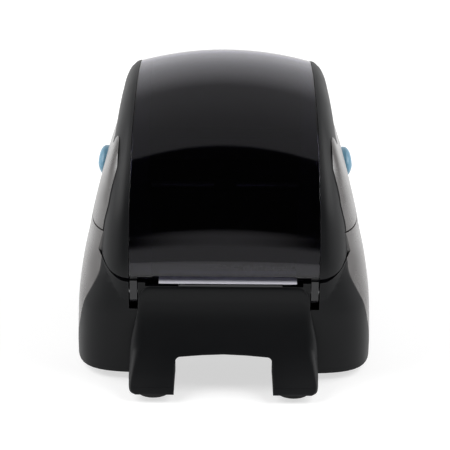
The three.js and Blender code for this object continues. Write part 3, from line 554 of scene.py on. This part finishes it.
def moulded_skin_group():
    """Spark-eroded mould grain, faint flow mottling, rubbed edges and settled dust."""
    name = "moulded skin"
    if name in bpy.data.node_groups:
        return bpy.data.node_groups[name]
    tree, given, out = group_start(name, [
        ("Colour", "NodeSocketColor", (0.03, 0.03, 0.03, 1)),
        ("Roughness", "NodeSocketFloat", 0.5),
        ("Grain scale", "NodeSocketFloat", 2200.0),
        ("Mottle", "NodeSocketFloat", 0.12),
        ("Rub", "NodeSocketFloat", 0.25),
        ("Dust", "NodeSocketFloat", 0.1),
    ], [("Colour", "NodeSocketColor"), ("Roughness", "NodeSocketFloat"), ("Height", "NodeSocketFloat")])
    where = tree.nodes.new("ShaderNodeTexCoord").outputs["Object"]
    fine = noise_node(tree, given.outputs["Grain scale"], 2.0, where, 0.6)
    coarse = noise_node(tree, math_node(tree, "MULTIPLY", given.outputs["Grain scale"], 0.31), 1.0, where)
    cloud = noise_node(tree, 26.0, 4.0, where, 0.62)
    patch = noise_node(tree, 7.0, 3.0, where, 0.55)
    shape = tree.nodes.new("ShaderNodeNewGeometry")
    rounded = tree.nodes.new("ShaderNodeBevel")
    rounded.samples = 4
    rounded.inputs["Radius"].default_value = 0.0011
    facing = tree.nodes.new("ShaderNodeVectorMath")
    facing.operation = "DOT_PRODUCT"
    tree.links.new(rounded.outputs["Normal"], facing.inputs[0])
    tree.links.new(shape.outputs["Normal"], facing.inputs[1])
    edge = spread(tree, facing.outputs["Value"], 0.82, 0.985, 1.0, 0.0)
    broken = spread(tree, cloud, 0.35, 0.7, 0.2, 1.0)
    rub = math_node(tree, "MULTIPLY", math_node(tree, "MULTIPLY", edge, broken), given.outputs["Rub"])
    parts = tree.nodes.new("ShaderNodeSeparateXYZ")
    tree.links.new(shape.outputs["Normal"], parts.inputs[0])
    level = spread(tree, parts.outputs["Z"], 0.55, 1.0, 0.0, 1.0)
    specks = spread(tree, noise_node(tree, 900.0, 2.0, where), 0.5, 0.8, 0.25, 1.0)
    settled = math_node(tree, "MULTIPLY", math_node(tree, "MULTIPLY", level, specks),
        given.outputs["Dust"])
    lighter = tree.nodes.new("ShaderNodeHueSaturation")
    lighter.inputs["Value"].default_value = 1.5
    lighter.inputs["Saturation"].default_value = 0.9
    tree.links.new(given.outputs["Colour"], lighter.inputs["Color"])
    mottle = math_node(tree, "MULTIPLY", spread(tree, patch, 0.3, 0.72, 0.0, 1.0),
        given.outputs["Mottle"])
    colour = mix_colour(tree, mottle, given.outputs["Colour"], lighter.outputs["Color"])
    colour = mix_colour(tree, rub, colour, (0.11, 0.11, 0.115, 1))
    colour = mix_colour(tree, settled, colour, (0.2, 0.19, 0.18, 1))
    tree.links.new(colour, out.inputs["Colour"])
    rough = math_node(tree, "ADD", given.outputs["Roughness"], math_node(tree, "MULTIPLY", math_node(
        tree, "SUBTRACT", cloud, 0.5), 0.16))
    rough = math_node(tree, "ADD", rough, math_node(tree, "MULTIPLY", settled, 0.25))
    rough = math_node(tree, "SUBTRACT", rough, math_node(tree, "MULTIPLY", rub, 0.3))
    tree.links.new(rough, out.inputs["Roughness"])
    height = math_node(tree, "ADD", math_node(tree, "MULTIPLY", fine, 0.65),
        math_node(tree, "MULTIPLY", coarse, 0.35))
    tree.links.new(height, out.inputs["Height"])
    return tree


def handled_gloss_group():
    """Fine hairline scratches and wiped smudges on a polished face."""
    name = "handled gloss"
    if name in bpy.data.node_groups:
        return bpy.data.node_groups[name]
    tree, given, out = group_start(name, [
        ("Roughness", "NodeSocketFloat", 0.04),
        ("Smudge", "NodeSocketFloat", 0.05),
        ("Hairlines", "NodeSocketFloat", 0.3),
    ], [("Roughness", "NodeSocketFloat"), ("Height", "NodeSocketFloat"), ("Mask", "NodeSocketFloat")])
    where = tree.nodes.new("ShaderNodeTexCoord").outputs["Object"]
    stretch = tree.nodes.new("ShaderNodeMapping")
    stretch.inputs["Scale"].default_value = (1.0, 0.08, 0.08)
    stretch.inputs["Rotation"].default_value = (0.3, 0.0, 0.25)
    tree.links.new(where, stretch.inputs["Vector"])
    lines = spread(tree, noise_node(tree, 1500.0, 3.0, stretch.outputs["Vector"], 0.7), 0.66, 0.74, 0.0,
        1.0)
    smudge = spread(tree, noise_node(tree, 18.0, 5.0, where, 0.65), 0.45, 0.75, 0.0, 1.0)
    marked = math_node(tree, "MULTIPLY", smudge, given.outputs["Smudge"])
    scored = math_node(tree, "MULTIPLY", math_node(tree, "MULTIPLY", lines, smudge),
        given.outputs["Hairlines"])
    rough = math_node(tree, "ADD", given.outputs["Roughness"], math_node(tree, "ADD", marked, math_node(
        tree, "MULTIPLY", scored, 0.12)))
    tree.links.new(rough, out.inputs["Roughness"])
    tree.links.new(math_node(tree, "MULTIPLY", scored, -1.0), out.inputs["Height"])
    tree.links.new(smudge, out.inputs["Mask"])
    return tree


# ---------------------------------------------------------------- finishes
def bare_material(name):
    material = bpy.data.materials.new(name)
    material.use_nodes = True
    tree = material.node_tree
    return material, tree, tree.nodes["Principled BSDF"]


def bump(tree, height, strength, distance, shader):
    node = tree.nodes.new("ShaderNodeBump")
    node.inputs["Strength"].default_value = strength
    node.inputs["Distance"].default_value = distance
    tree.links.new(height, node.inputs["Height"])
    tree.links.new(node.outputs["Normal"], shader.inputs["Normal"])
    return node


def moulded(name, colour, roughness, grain=2200.0, depth=0.25, mottle=0.12, rub=0.25, dust=0.08,
    specular=0.5):
    if name in bpy.data.materials:
        return bpy.data.materials[name]
    material, tree, shader = bare_material(name)
    skin = tree.nodes.new("ShaderNodeGroup")
    skin.node_tree = moulded_skin_group()
    for label, value in (("Colour", (*colour, 1)), ("Roughness", roughness), ("Grain scale", grain),
                         ("Mottle", mottle), ("Rub", rub), ("Dust", dust)):
        skin.inputs[label].default_value = value
    tree.links.new(skin.outputs["Colour"], shader.inputs["Base Color"])
    tree.links.new(skin.outputs["Roughness"], shader.inputs["Roughness"])
    shader.inputs["Specular IOR Level"].default_value = specular
    bump(tree, skin.outputs["Height"], depth, 0.00012, shader)
    return material


def polished(name, colour, roughness, transmission=0.0, coat=0.0, smudge=0.05, hairlines=0.3):
    if name in bpy.data.materials:
        return bpy.data.materials[name]
    material, tree, shader = bare_material(name)
    marks = tree.nodes.new("ShaderNodeGroup")
    marks.node_tree = handled_gloss_group()
    for label, value in (("Roughness", roughness), ("Smudge", smudge), ("Hairlines", hairlines)):
        marks.inputs[label].default_value = value
    shader.inputs["Transmission Weight"].default_value = transmission
    shader.inputs["Coat Weight"].default_value = coat
    shader.inputs["IOR"].default_value = 1.49
    tint = mix_colour(tree, marks.outputs["Mask"], (*colour, 1), (*(c * 1.12 for c in colour), 1))
    tree.links.new(tint, shader.inputs["Base Color"])
    tree.links.new(marks.outputs["Roughness"], shader.inputs["Roughness"])
    bump(tree, marks.outputs["Height"], 0.15, 0.00002, shader)
    return material


def metal(name, colour, roughness, along=(1.0, 40.0, 40.0)):
    """Drawn or rolled metal with fine lines along one direction."""
    if name in bpy.data.materials:
        return bpy.data.materials[name]
    material, tree, shader = bare_material(name)
    where = tree.nodes.new("ShaderNodeTexCoord").outputs["Object"]
    stretch = tree.nodes.new("ShaderNodeMapping")
    stretch.inputs["Scale"].default_value = along
    tree.links.new(where, stretch.inputs["Vector"])
    lines = noise_node(tree, 60.0, 6.0, stretch.outputs["Vector"], 0.7)
    cloud = noise_node(tree, 40.0, 3.0, where)
    shader.inputs["Metallic"].default_value = 1.0
    dim = (*(c * 0.78 for c in colour), 1)
    tree.links.new(mix_colour(tree, cloud, (*colour, 1), dim), shader.inputs["Base Color"])
    tree.links.new(spread(tree, lines, 0.25, 0.75, roughness * 0.75, roughness * 1.35),
        shader.inputs["Roughness"])
    bump(tree, lines, 0.12, 0.00003, shader)
    return material


# ---------------------------------------------------------------- pieces
def look():
    return bpy.context.scene.printer_looks


def body_plastic():
    p = look()
    return moulded("charcoal plastic", p.body_colour, p.body_roughness, grain=p.grain_scale, dust=0.02,
        rub=0.16,
                    mottle=0.2, specular=0.17)


def flank_plastic_and_sheen():
    p = look()
    # The side grey is far lighter than the body's: partly the skins' own grey, partly a painted sheen for
    # the bright side backdrop's reflection.
    return moulded("flank plastic", p.flank_tone_and_sheen, 0.27, grain=p.grain_scale * 0.8, depth=0.12,
                    mottle=0.08, rub=0.12, dust=0.02, specular=0.85)


def inner_plastic():
    return moulded("inner plastic", (0.016, 0.016, 0.018), 0.5, mottle=0.1, dust=0.15)


def outer_solid():
    return add(skirt("outer", 0), core("outer core", 0))


def inner_solid():
    return add(skirt("inner", WALL, -5, 134), core("inner core", WALL))


def build_housing():
    """The one-piece body shell with its tail, legs, hinge bosses and side recesses."""
    hull = cut(tail(0), within(tail(WALL, WALL), block("room", -60, 60, -120, -70, 0, 53.4)),
               within(skirt("inside", WALL, -5, 134), block("ahead", -100, 100, -77.4, 100, -9, 90)))
    shell = cut(outer_solid(), inner_solid())
    add(shell, hull)
    for x0, x1 in ((44.6, 47.4), (52.8, 57), (-47.4, -44.6), (-57, -52.8)):
        add(shell, block("boss", x0, x1, -78, -68.6, 46.6, 56.4))
    within(shell, body_region())
    cut(shell, block("window end", -43.5, 43.5, -90, -66, TAIL_TOP, 70), arch_cut(),
        block("arch room", -LEG_INNER, LEG_INNER, -90, -70, -5, ARCH_TOP + 0.6))
    for side in (-1, 1):
        inner, outer = sorted((side * (ARM_INNER - 0.45), side * (ARM_INNER + ARM_WIDTH + 0.45)))
        cut(shell, block("hinge slot", inner, outer, -90, -64, SLOT_LOW, 80))
        cut(shell, rod("pin room", "x", (HINGE_Y, HINGE_Z), *sorted((side * 44, side * 57.5)), 2.7, 32))
        cut(shell, cut(flank_region(0, side), skirt("backing", PANEL + FIT_GAP, -6, 137)))
    cut(shell, front_region(0), block("exit", -57, 57, 85, 120, 75, 120))
    place(largest_only(shell), "housing_shell", "base", "charcoal", body_plastic(), ["rear_housing"],
        32, 0.35)


def build_flanks():
    """The two smooth side skins set into the body shell."""
    skin = within(cut(outer_solid(), skirt("skin inside", PANEL, -6, 137)), body_region())
    for side, word in ((1, "right"), (-1, "left")):
        piece = within(copy_of(skin), flank_region(FIT_GAP, side))
        place(largest_only(piece), f"side_skin_{word}", "base", "flank", flank_plastic_and_sheen(),
            [f"side_panel_{word}"], 32, 0.3)
    drop(skin)


LATCH_Y, LATCH_Z, LATCH_LONG, LATCH_TALL, LATCH_DOME = 59, 85, 28, 18, 4.6


def latch_outline(grow, steps=72):
    return [(LATCH_Y + (LATCH_LONG / 2 + grow) * math.cos(a),
        LATCH_Z + (LATCH_TALL / 2 + grow) * math.sin(a))
            for a in (k / steps * FULL_TURN for k in range(steps))]


def build_cover():
    """The lid: its arched frame with round cheeks, and the two side wings."""
    region = cover_region()
    opening = block("window opening", -SEAM, SEAM, -120, WINDOW_FRONT + FIT_GAP, 40, 200)
    frame_piece = within(cut(core("lid", 0), core("lid inside", WALL)), copy_of(region))
    cut(frame_piece, opening, block("exit", -57, 57, 90, 120, 0, 81),
        slab("latch hole", "x", latch_outline(1.8), -120, 120))
    place(largest_only(frame_piece), "lid_frame", "cover", "charcoal", body_plastic(), ["cover_frame"],
        32, 0.3)
    wing = within(cut(skirt("wing", 0), skirt("wing inside", WALL, -5, 134)), above_parting(SEAM_GAP / 2))
    cut(wing, core("core room", -FIT_GAP), block("middle", -60, 60, -120, 130, 0, 200),
        slab("latch hole", "x", latch_outline(0.4), -120, 120))
    for side, word in ((1, "right"), (-1, "left")):
        half = block("half", *sorted((0, side * 130)), -130, 130, -10, 200)
        piece = within(copy_of(wing), half)
        place(largest_only(piece), f"lid_wing_{word}", "cover", "flank", flank_plastic_and_sheen(),
            [f"cover_side_{word}"], 32, 0.25)
    drop(wing)
    drop(region)


MASK_EDGE = [(-90, 39), (-70, 40), (-30, 42.4), (40, 44), (72, 44)]
ARM_OUTLINE = [
    (-79.4, 59.4), (-79.4, 48.4), (-77, 46.2), (-73.5, 45.6), (-69.8, 46.8), (-68.2, 50), (-68.4, 56),
    (-71.5, 63), (-74.6, 70), (-76.6, 70), (-77.3, 66), (-77.2, 59.4),
]


def build_window():
    """The smoked window with the black surround behind its edges, which carries the hinge arms."""
    reach = SEAM - FIT_GAP
    glass = cut(core("glass", 0), core("glass inside", GLASS))
    within(glass, block("glass room", -reach, reach, -120, WINDOW_FRONT, WINDOW_LOW, 200))
    tint = polished("smoked acrylic", look().window_tint, 0.035, transmission=1.0, smudge=0.02,
        hairlines=0.1)
    place(largest_only(glass), "smoked_window", "cover", "smoked", tint, ["window"], 40, 0.4)
    inset = GLASS + FIT_GAP
    mask = cut(core("mask", inset), core("mask inside", inset + 1.4))
    within(mask, block("mask room", -reach, reach, -120, WINDOW_FRONT, COVER_LOW + 0.4, 200))
    right = path_points([Vector(p) for p in MASK_EDGE], 40)
    clear = [(p.y, p.x) for p, _ in right] + [(-p.y, p.x) for p, _ in reversed(right)]
    cut(mask, slab("clear", "z", clear, 0, 200))
    for side in (-1, 1):
        inner, outer = sorted((side * ARM_INNER, side * (ARM_INNER + ARM_WIDTH - FIT_GAP)))
        arm = slab("arm", "x", ARM_OUTLINE, inner, outer)
        add(mask, cut(arm, rod("pin hole", "x", (HINGE_Y, HINGE_Z), inner - 1, outer + 1, 2.8, 32)))
    black = moulded("mask black", (0.012, 0.012, 0.014), 0.38, grain=3000, mottle=0.05, rub=0.15,
        dust=0.03)
    place(largest_only(mask), "window_surround", "cover", "mask", black, ["window_mask"], 32, 0.25)


def build_latches():
    """The two oval release buttons, domed."""
    for side, word in ((1, "right"), (-1, "left")):
        low, high = node_box(f"latch_{word}")
        tip, root = (high.x, low.x) if side > 0 else (low.x, high.x)
        rings = [[(root, y, z) for y, z in latch_outline(0)]]
        for k in range(25):
            turn = k / 24 * math.pi / 2
            x = tip - side * LATCH_DOME * (1 - math.sin(turn) ** 0.9)
            rings.append([(x, y, z) for y, z in latch_outline(-8.4 * (1 - math.cos(turn)) ** 0.9)])
        blue = moulded("latch blue", look().latch_colour, 0.36, grain=3200, mottle=0.06, rub=0.1,
            dust=0.03)
        place(loft("latch", rings), f"latch_key_{word}", f"latch_{word}", "latch_blue", blue,
            [f"latch_{word}"], 45)


def build_trims():
    """The bright fan-fold guide strip behind the lid."""
    low, high = node_box("fanfold_guide")
    strip = [(-79.3, high.z - 2.2), (-79.35, high.z - 1.3), (-79.1, high.z - 0.7), (-78.6, high.z - 0.35),
             (-77.8, high.z - 0.25), (-66, high.z - 0.02), (-64.6, high.z - 0.02), (-64.6, high.z - 0.7),
             (-77.6, high.z - 1.0), (-78.2, high.z - 1.3), (-78.4, high.z - 2.2)]
    strip = [(max(y, low.y), z) for y, z in strip]
    # The steel strip is given a pale non-metal grey: partly its own pale tone, partly a painted sheen
    # standing in for the light it reflects.
    bright = moulded("guide strip finish", (0.62, 0.62, 0.68), 0.38, grain=3600, rub=0.1, dust=0.0)
    guide = slab("guide", "x", strip, low.x, high.x)
    place(guide, "fanfold_strip", "base", "steel", bright, ["fanfold_guide"], 40, 0.12)


WIRE = 0.5


def coil(axis, centre, low, high, radius, turns):
    """A round wire wound along an axis, with its ends drawn level."""
    ia, ib, ic = AXES[axis]
    rings = []
    steps = round(turns * 30)
    for k in range(steps + 1):
        share = k / steps
        turn = share * turns * FULL_TURN
        rise = low + WIRE + (high - low - 2 * WIRE) * min(max((share - 0.12) / 0.76, 0), 1)
        out = (math.cos(turn), math.sin(turn))
        ring = []
        for j in range(12):
            around = j / 12 * FULL_TURN
            reach = radius + WIRE * math.cos(around)
            spot = [0, 0, 0]
            spot[ia], spot[ib] = centre[0] + reach * out[0], centre[1] + reach * out[1]
            spot[ic] = rise + WIRE * math.sin(around)
            ring.append(spot)
        rings.append(ring)
    return loft("coil", rings)


def build_springs():
    """The springs behind the release keys and over the print head."""
    wire = metal("spring wire", (0.45, 0.45, 0.46), 0.28)
    for side, word in ((1, "right"), (-1, "left")):
        node = f"latch_spring_{word}"
        low, high = node_box(node)
        spring = coil("x", (LATCH_Y, LATCH_Z), low.x, high.x, (high.z - low.z) / 2 - WIRE, 3)
        place(spring, f"key_spring_{word}", "cover", "steel", wire, [node], 60)
        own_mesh(spring)
        node = f"head_spring_{word}"
        low, high = node_box(node)
        middle = (low + high) / 2
        spring = coil("z", (middle.x, middle.y), low.z, high.z, (high.y - low.y) / 2 - WIRE, 2.5)
        place(spring, f"head_coil_{word}", "cover", "steel", wire, [node], 60)
        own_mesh(spring)


# ---------------------------------------------------------------- finishes of the modelled nodes
def finish_nodes(material, slot_name, *names):
    """Gives modelled nodes a finish; round parts shade smoothly and keep their corners."""
    for name in names:
        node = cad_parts[name]
        node.data.materials.clear()
        node.data.materials.append(material)
        node.data.shade_smooth()
        node.data.set_sharp_from_angle(angle=math.radians(32))


def finish_mechanism():
    steel = metal("plated steel", (0.42, 0.42, 0.43), 0.3)
    finish_nodes(steel, "steel", "hinge_pin_right", "hinge_pin_left", "platen_shaft", "idler_stud",
                 "side_plate_right", "side_plate_left", "tear_bar", "sensor_rail", "pan_screw_1",
                     "pan_screw_2",
                 "latch_bracket_right", "latch_bracket_left", "stepper_motor")
    alloy = metal("extruded alloy", (0.55, 0.56, 0.57), 0.36, along=(2.0, 30.0, 30.0))
    finish_nodes(alloy, "aluminium", "printhead_heatsink", "guide_track")
    finish_nodes(moulded("glazed ceramic", (0.35, 0.33, 0.29), 0.2, grain=4000, rub=0.0), "ceramic",
        "printhead")
    nylon = moulded("white nylon", (0.55, 0.54, 0.5), 0.42, grain=2600, mottle=0.1, rub=0.0, dust=0.1)
    finish_nodes(nylon, "nylon", "guide_pinion", "platen_gear", "idler_gear", "bearing_right",
        "bearing_left",
                 "motor_pinion")


def finish_electronics():
    lacquer = polished("board lacquer", (0.01, 0.07, 0.03), 0.3, coat=0.5)
    finish_nodes(lacquer, "board", "main_board")
    socket = moulded("socket black", (0.014, 0.014, 0.015), 0.45, grain=3600, rub=0.1)
    finish_nodes(socket, "connector_black", "power_inlet", "switch_body", "power_switch", "gap_sensor")
    tin = metal("socket tin", (0.5, 0.5, 0.5), 0.34)
    finish_nodes(tin, "connector_metal", "serial_port", "usb_device_port", "ethernet_port")
    finish_nodes(polished("lamp pipe", (0.6, 0.75, 0.65), 0.12, transmission=0.7), "lamp", "lamp_pipe")


def finish_housing_parts():
    finish_nodes(body_plastic(), "charcoal", "front_panel", "feed_button")
    finish_nodes(inner_plastic(), "inner", "base_pan", "cable_bay", "media_tub", "guide_right",
        "guide_left",
                 "printhead_mount")
    lip = moulded("lip plastic", (0.013, 0.013, 0.014), 0.34, grain=3000, rub=0.15, dust=0.03)
    finish_nodes(lip, "inner", "fanfold_lip")
    rubber = moulded("foot rubber", (0.012, 0.012, 0.012), 0.75, grain=1500, mottle=0.2, rub=0.0,
        dust=0.3)
    finish_nodes(rubber, "rubber", "foot_rear_left", "foot_rear_right", "foot_front_left",
        "foot_front_right",
                 "platen_roller")


# ---------------------------------------------------------------- setting: floor, light and camera
def stage_floor():
    piece = slab("pale floor", "z", round_rect(0, 0, 9000, 9000, 400), -3, -0.02)
    piece.data.transform(Matrix.Scale(MM, 4))
    material, tree, shader = bare_material("pale floor")
    where = tree.nodes.new("ShaderNodeTexCoord").outputs["Object"]
    p = bpy.context.scene.printer_stage
    tone = p.floor_colour
    cloud = noise_node(tree, 3.0, 2.0, where)
    tree.links.new(mix_colour(tree, cloud, (*tone, 1), (*(c * 0.985 for c in tone), 1)),
        shader.inputs["Base Color"])
    shader.inputs["Roughness"].default_value = 0.8
    shader.inputs["Specular IOR Level"].default_value = 0.1
    shader.inputs["Emission Color"].default_value = (1, 1, 1, 1)
    shader.inputs["Emission Strength"].default_value = p.floor_glow
    piece.data.materials.append(material)


def area_light(name, spot, target, size, power):
    lamp = bpy.data.lights.new(name, "AREA")
    lamp.shape = "RECTANGLE"
    lamp.size, lamp.size_y = size
    lamp.energy = power
    holder = bpy.data.objects.new(name, lamp)
    bpy.context.scene.collection.objects.link(holder)
    holder.location = spot
    holder.rotation_euler = (Vector(target) - Vector(spot)).to_track_quat("-Z", "Y").to_euler()


def stage_light():
    """Bright backdrop beyond the front and at both sides, dim above the rear, soft lamps."""
    p = bpy.context.scene.printer_stage
    world = bpy.data.worlds.new("soft studio")
    world.use_nodes = True
    bpy.context.scene.world = world
    tree = world.node_tree
    back = tree.nodes["Background"]
    where = tree.nodes.new("ShaderNodeTexCoord").outputs["Generated"]
    parts = tree.nodes.new("ShaderNodeSeparateXYZ")
    tree.links.new(where, parts.inputs[0])
    ahead = spread(tree, parts.outputs["Y"], 0.52, 0.97, 0.0, 1.0)
    aside = spread(tree, math_node(tree, "ABSOLUTE", parts.outputs["X"]), 0.62, 0.95, 0.0, 1.0)
    above = spread(tree, parts.outputs["Y"], -0.02, 0.03, 0.0, 1.0)
    low_wall = spread(tree, parts.outputs["Z"], 0.18, 0.24, 1.0, 0.0)
    level = math_node(tree, "MAXIMUM", math_node(tree, "MULTIPLY", ahead, p.backdrop),
                      math_node(tree, "MULTIPLY", aside, p.side_glow))
    level = math_node(tree, "MAXIMUM", level, math_node(tree, "MULTIPLY", above, p.overhead))
    level = math_node(tree, "MAXIMUM", level, math_node(tree, "MULTIPLY", low_wall, p.low_wall))
    level = math_node(tree, "MAXIMUM", level, 0.012)
    tree.links.new(level, back.inputs["Strength"])
    back.inputs["Color"].default_value = (1, 1, 1, 1)
    for side, word in ((-1, "left"), (1, "right")):
        area_light(f"softbox {word}", (side * 1.55, 0.25, 1.35), (0, 0.2, 0), (1.7, 1.7), p.softbox)


def stage_camera():
    p = bpy.context.scene.printer_stage
    target = Vector((p.aim_x, 0, p.aim_z))
    reach = Vector((0, -math.cos(p.elevation), math.sin(p.elevation))) * p.distance
    eye = bpy.data.cameras.new("camera")
    eye.lens = p.lens
    eye.sensor_width = 36
    holder = bpy.data.objects.new("camera", eye)
    bpy.context.scene.collection.objects.link(holder)
    aim = (-reach).to_track_quat("-Z", "Y").to_matrix()
    turn = aim @ Matrix.Rotation(p.roll, 3, "Z")
    holder.matrix_world = Matrix.Translation(target + reach) @ turn.to_4x4()
    bpy.context.scene.camera = holder
    bpy.context.scene.view_settings.view_transform = "Standard"


# ---------------------------------------------------------------- settings, operators and panel
class PrinterLooks(bpy.types.PropertyGroup):
    body_colour: bpy.props.FloatVectorProperty(
        name="Body colour", description="Charcoal of the shell and lid", subtype="COLOR",
        size=3, default=(0.0052, 0.0056, 0.0064))
    # Side grey: partly the skins' own tone, partly a painted sheen lightened in for the side backdrop's
    # reflection.
    flank_tone_and_sheen: bpy.props.FloatVectorProperty(
        name="Side colour and painted sheen", description="Grey of the smooth side skins, lightened by a painted sheen", subtype="COLOR",
        size=3, default=(0.05, 0.045, 0.044))
    window_tint: bpy.props.FloatVectorProperty(
        name="Window tint", description="Smoke tint of the window", subtype="COLOR",
        size=3, default=(0.13, 0.12, 0.2))
    latch_colour: bpy.props.FloatVectorProperty(
        name="Latch colour", description="Blue of the release keys", subtype="COLOR",
        size=3, default=(0.1, 0.25, 0.36))
    body_roughness: bpy.props.FloatProperty(
        name="Body roughness", description="Roughness of the grained plastic", default=0.46, min=0.1,
            max=1)
    grain_scale: bpy.props.FloatProperty(
        name="Grain scale", description="Number of grain cells in a metre", default=2200, min=200,
            max=6000)


class PrinterStage(bpy.types.PropertyGroup):
    floor_colour: bpy.props.FloatVectorProperty(
        name="Floor colour", description="Plain pale floor", subtype="COLOR", size=3,
            default=(0.5, 0.5, 0.5))
    floor_glow: bpy.props.FloatProperty(
        name="Floor glow", description="Light that the table itself gives", default=0.62, min=0)
    backdrop: bpy.props.FloatProperty(name="Backdrop", description="Light from beyond the front",
        default=1.05, min=0)
    side_glow: bpy.props.FloatProperty(name="Side glow", description="Light from both sides",
        default=1.2, min=0)
    overhead: bpy.props.FloatProperty(name="Overhead", description="Light from above the front",
        default=0.33, min=0)
    low_wall: bpy.props.FloatProperty(name="Low wall", description="Light from the wall behind",
        default=0.5, min=0)
    softbox: bpy.props.FloatProperty(
        name="Softbox power", description="Power of each side softbox in watts", default=36, min=0)
    elevation: bpy.props.FloatProperty(
        name="Elevation", description="Camera height above the horizon", subtype="ANGLE",
            default=math.radians(20))
    roll: bpy.props.FloatProperty(
        name="Roll", description="Camera roll", subtype="ANGLE", default=math.radians(0.45))
    distance: bpy.props.FloatProperty(
        name="Distance", description="Camera to its target", unit="LENGTH", default=0.9, min=0.2)
    aim_x: bpy.props.FloatProperty(
        name="Aim X", description="Target across the machine", unit="LENGTH", default=0.0002)
    aim_z: bpy.props.FloatProperty(name="Aim Z", description="Target height", unit="LENGTH",
        default=0.0635)
    lens: bpy.props.FloatProperty(name="Lens", description="Focal length in millimetres", default=120.5,
        min=20)


class PRINTER_OT_housing(bpy.types.Operator):
    """Builds the body shell with its tail and legs."""
    bl_idname = "printer.housing"
    bl_label = "Body shell"

    def execute(self, context):
        build_housing()
        return {"FINISHED"}


class PRINTER_OT_flanks(bpy.types.Operator):
    """Builds the two smooth side skins."""
    bl_idname = "printer.flanks"
    bl_label = "Side skins"

    def execute(self, context):
        build_flanks()
        return {"FINISHED"}


class PRINTER_OT_cover(bpy.types.Operator):
    """Builds the lid frame, its cheeks and wings."""
    bl_idname = "printer.cover"
    bl_label = "Lid"

    def execute(self, context):
        build_cover()
        return {"FINISHED"}


class PRINTER_OT_window(bpy.types.Operator):
    """Builds the smoked window and its black surround."""
    bl_idname = "printer.window"
    bl_label = "Window"

    def execute(self, context):
        build_window()
        return {"FINISHED"}


class PRINTER_OT_latches(bpy.types.Operator):
    """Builds the two blue release keys."""
    bl_idname = "printer.latches"
    bl_label = "Release keys"

    def execute(self, context):
        build_latches()
        return {"FINISHED"}


class PRINTER_OT_trims(bpy.types.Operator):
    """Builds the fan-fold guide strip behind the lid."""
    bl_idname = "printer.trims"
    bl_label = "Trims"

    def execute(self, context):
        build_trims()
        return {"FINISHED"}


class PRINTER_OT_springs(bpy.types.Operator):
    """Builds the springs behind the release keys and over the print head."""
    bl_idname = "printer.springs"
    bl_label = "Springs"

    def execute(self, context):
        build_springs()
        return {"FINISHED"}


class PRINTER_OT_housing_finish(bpy.types.Operator):
    """Gives the modelled body parts, feet and roller their finishes."""
    bl_idname = "printer.housing_finish"
    bl_label = "Body finishes"

    def execute(self, context):
        finish_housing_parts()
        return {"FINISHED"}


class PRINTER_OT_mechanism(bpy.types.Operator):
    """Gives the print mechanism its finishes."""
    bl_idname = "printer.mechanism"
    bl_label = "Mechanism finishes"

    def execute(self, context):
        finish_mechanism()
        return {"FINISHED"}


class PRINTER_OT_electronics(bpy.types.Operator):
    """Gives the board, sockets and switch their finishes."""
    bl_idname = "printer.electronics"
    bl_label = "Electronics finishes"

    def execute(self, context):
        finish_electronics()
        return {"FINISHED"}


class PRINTER_OT_stage(bpy.types.Operator):
    """Sets the floor, the light and the camera."""
    bl_idname = "printer.stage"
    bl_label = "Stage"

    def execute(self, context):
        stage_floor()
        stage_light()
        stage_camera()
        return {"FINISHED"}


OPERATORS = (
    PRINTER_OT_housing,
    PRINTER_OT_flanks,
    PRINTER_OT_cover,
    PRINTER_OT_window,
    PRINTER_OT_latches,
    PRINTER_OT_trims,
    PRINTER_OT_springs,
    PRINTER_OT_housing_finish,
    PRINTER_OT_mechanism,
    PRINTER_OT_electronics,
    PRINTER_OT_stage,
)


class PRINTER_PT_build(bpy.types.Panel):
    """Lists the settings and the building steps."""
    bl_idname = "PRINTER_PT_build"
    bl_label = "Label printer"
    bl_space_type = "VIEW_3D"
    bl_region_type = "UI"
    bl_category = "Label printer"

    def draw(self, context):
        for group in (context.scene.printer_looks, context.scene.printer_stage):
            for label in group.bl_rna.properties.keys():
                if label not in ("rna_type", "name"):
                    self.layout.prop(group, label)
        for step in OPERATORS:
            self.layout.operator(step.bl_idname)


CLASSES = (PrinterLooks, PrinterStage, *OPERATORS, PRINTER_PT_build)


def register():
    for item in CLASSES:
        bpy.utils.register_class(item)
    bpy.types.Scene.printer_looks = bpy.props.PointerProperty(type=PrinterLooks)
    bpy.types.Scene.printer_stage = bpy.props.PointerProperty(type=PrinterStage)


def unregister():
    del bpy.types.Scene.printer_stage
    del bpy.types.Scene.printer_looks
    for item in reversed(CLASSES):
        bpy.utils.unregister_class(item)


def main():
    register()
    for step in OPERATORS:
        getattr(bpy.ops.printer, step.bl_idname.split(".")[1])()
    bpy.context.view_layer.update()


if __name__ == "__main__":
    main()
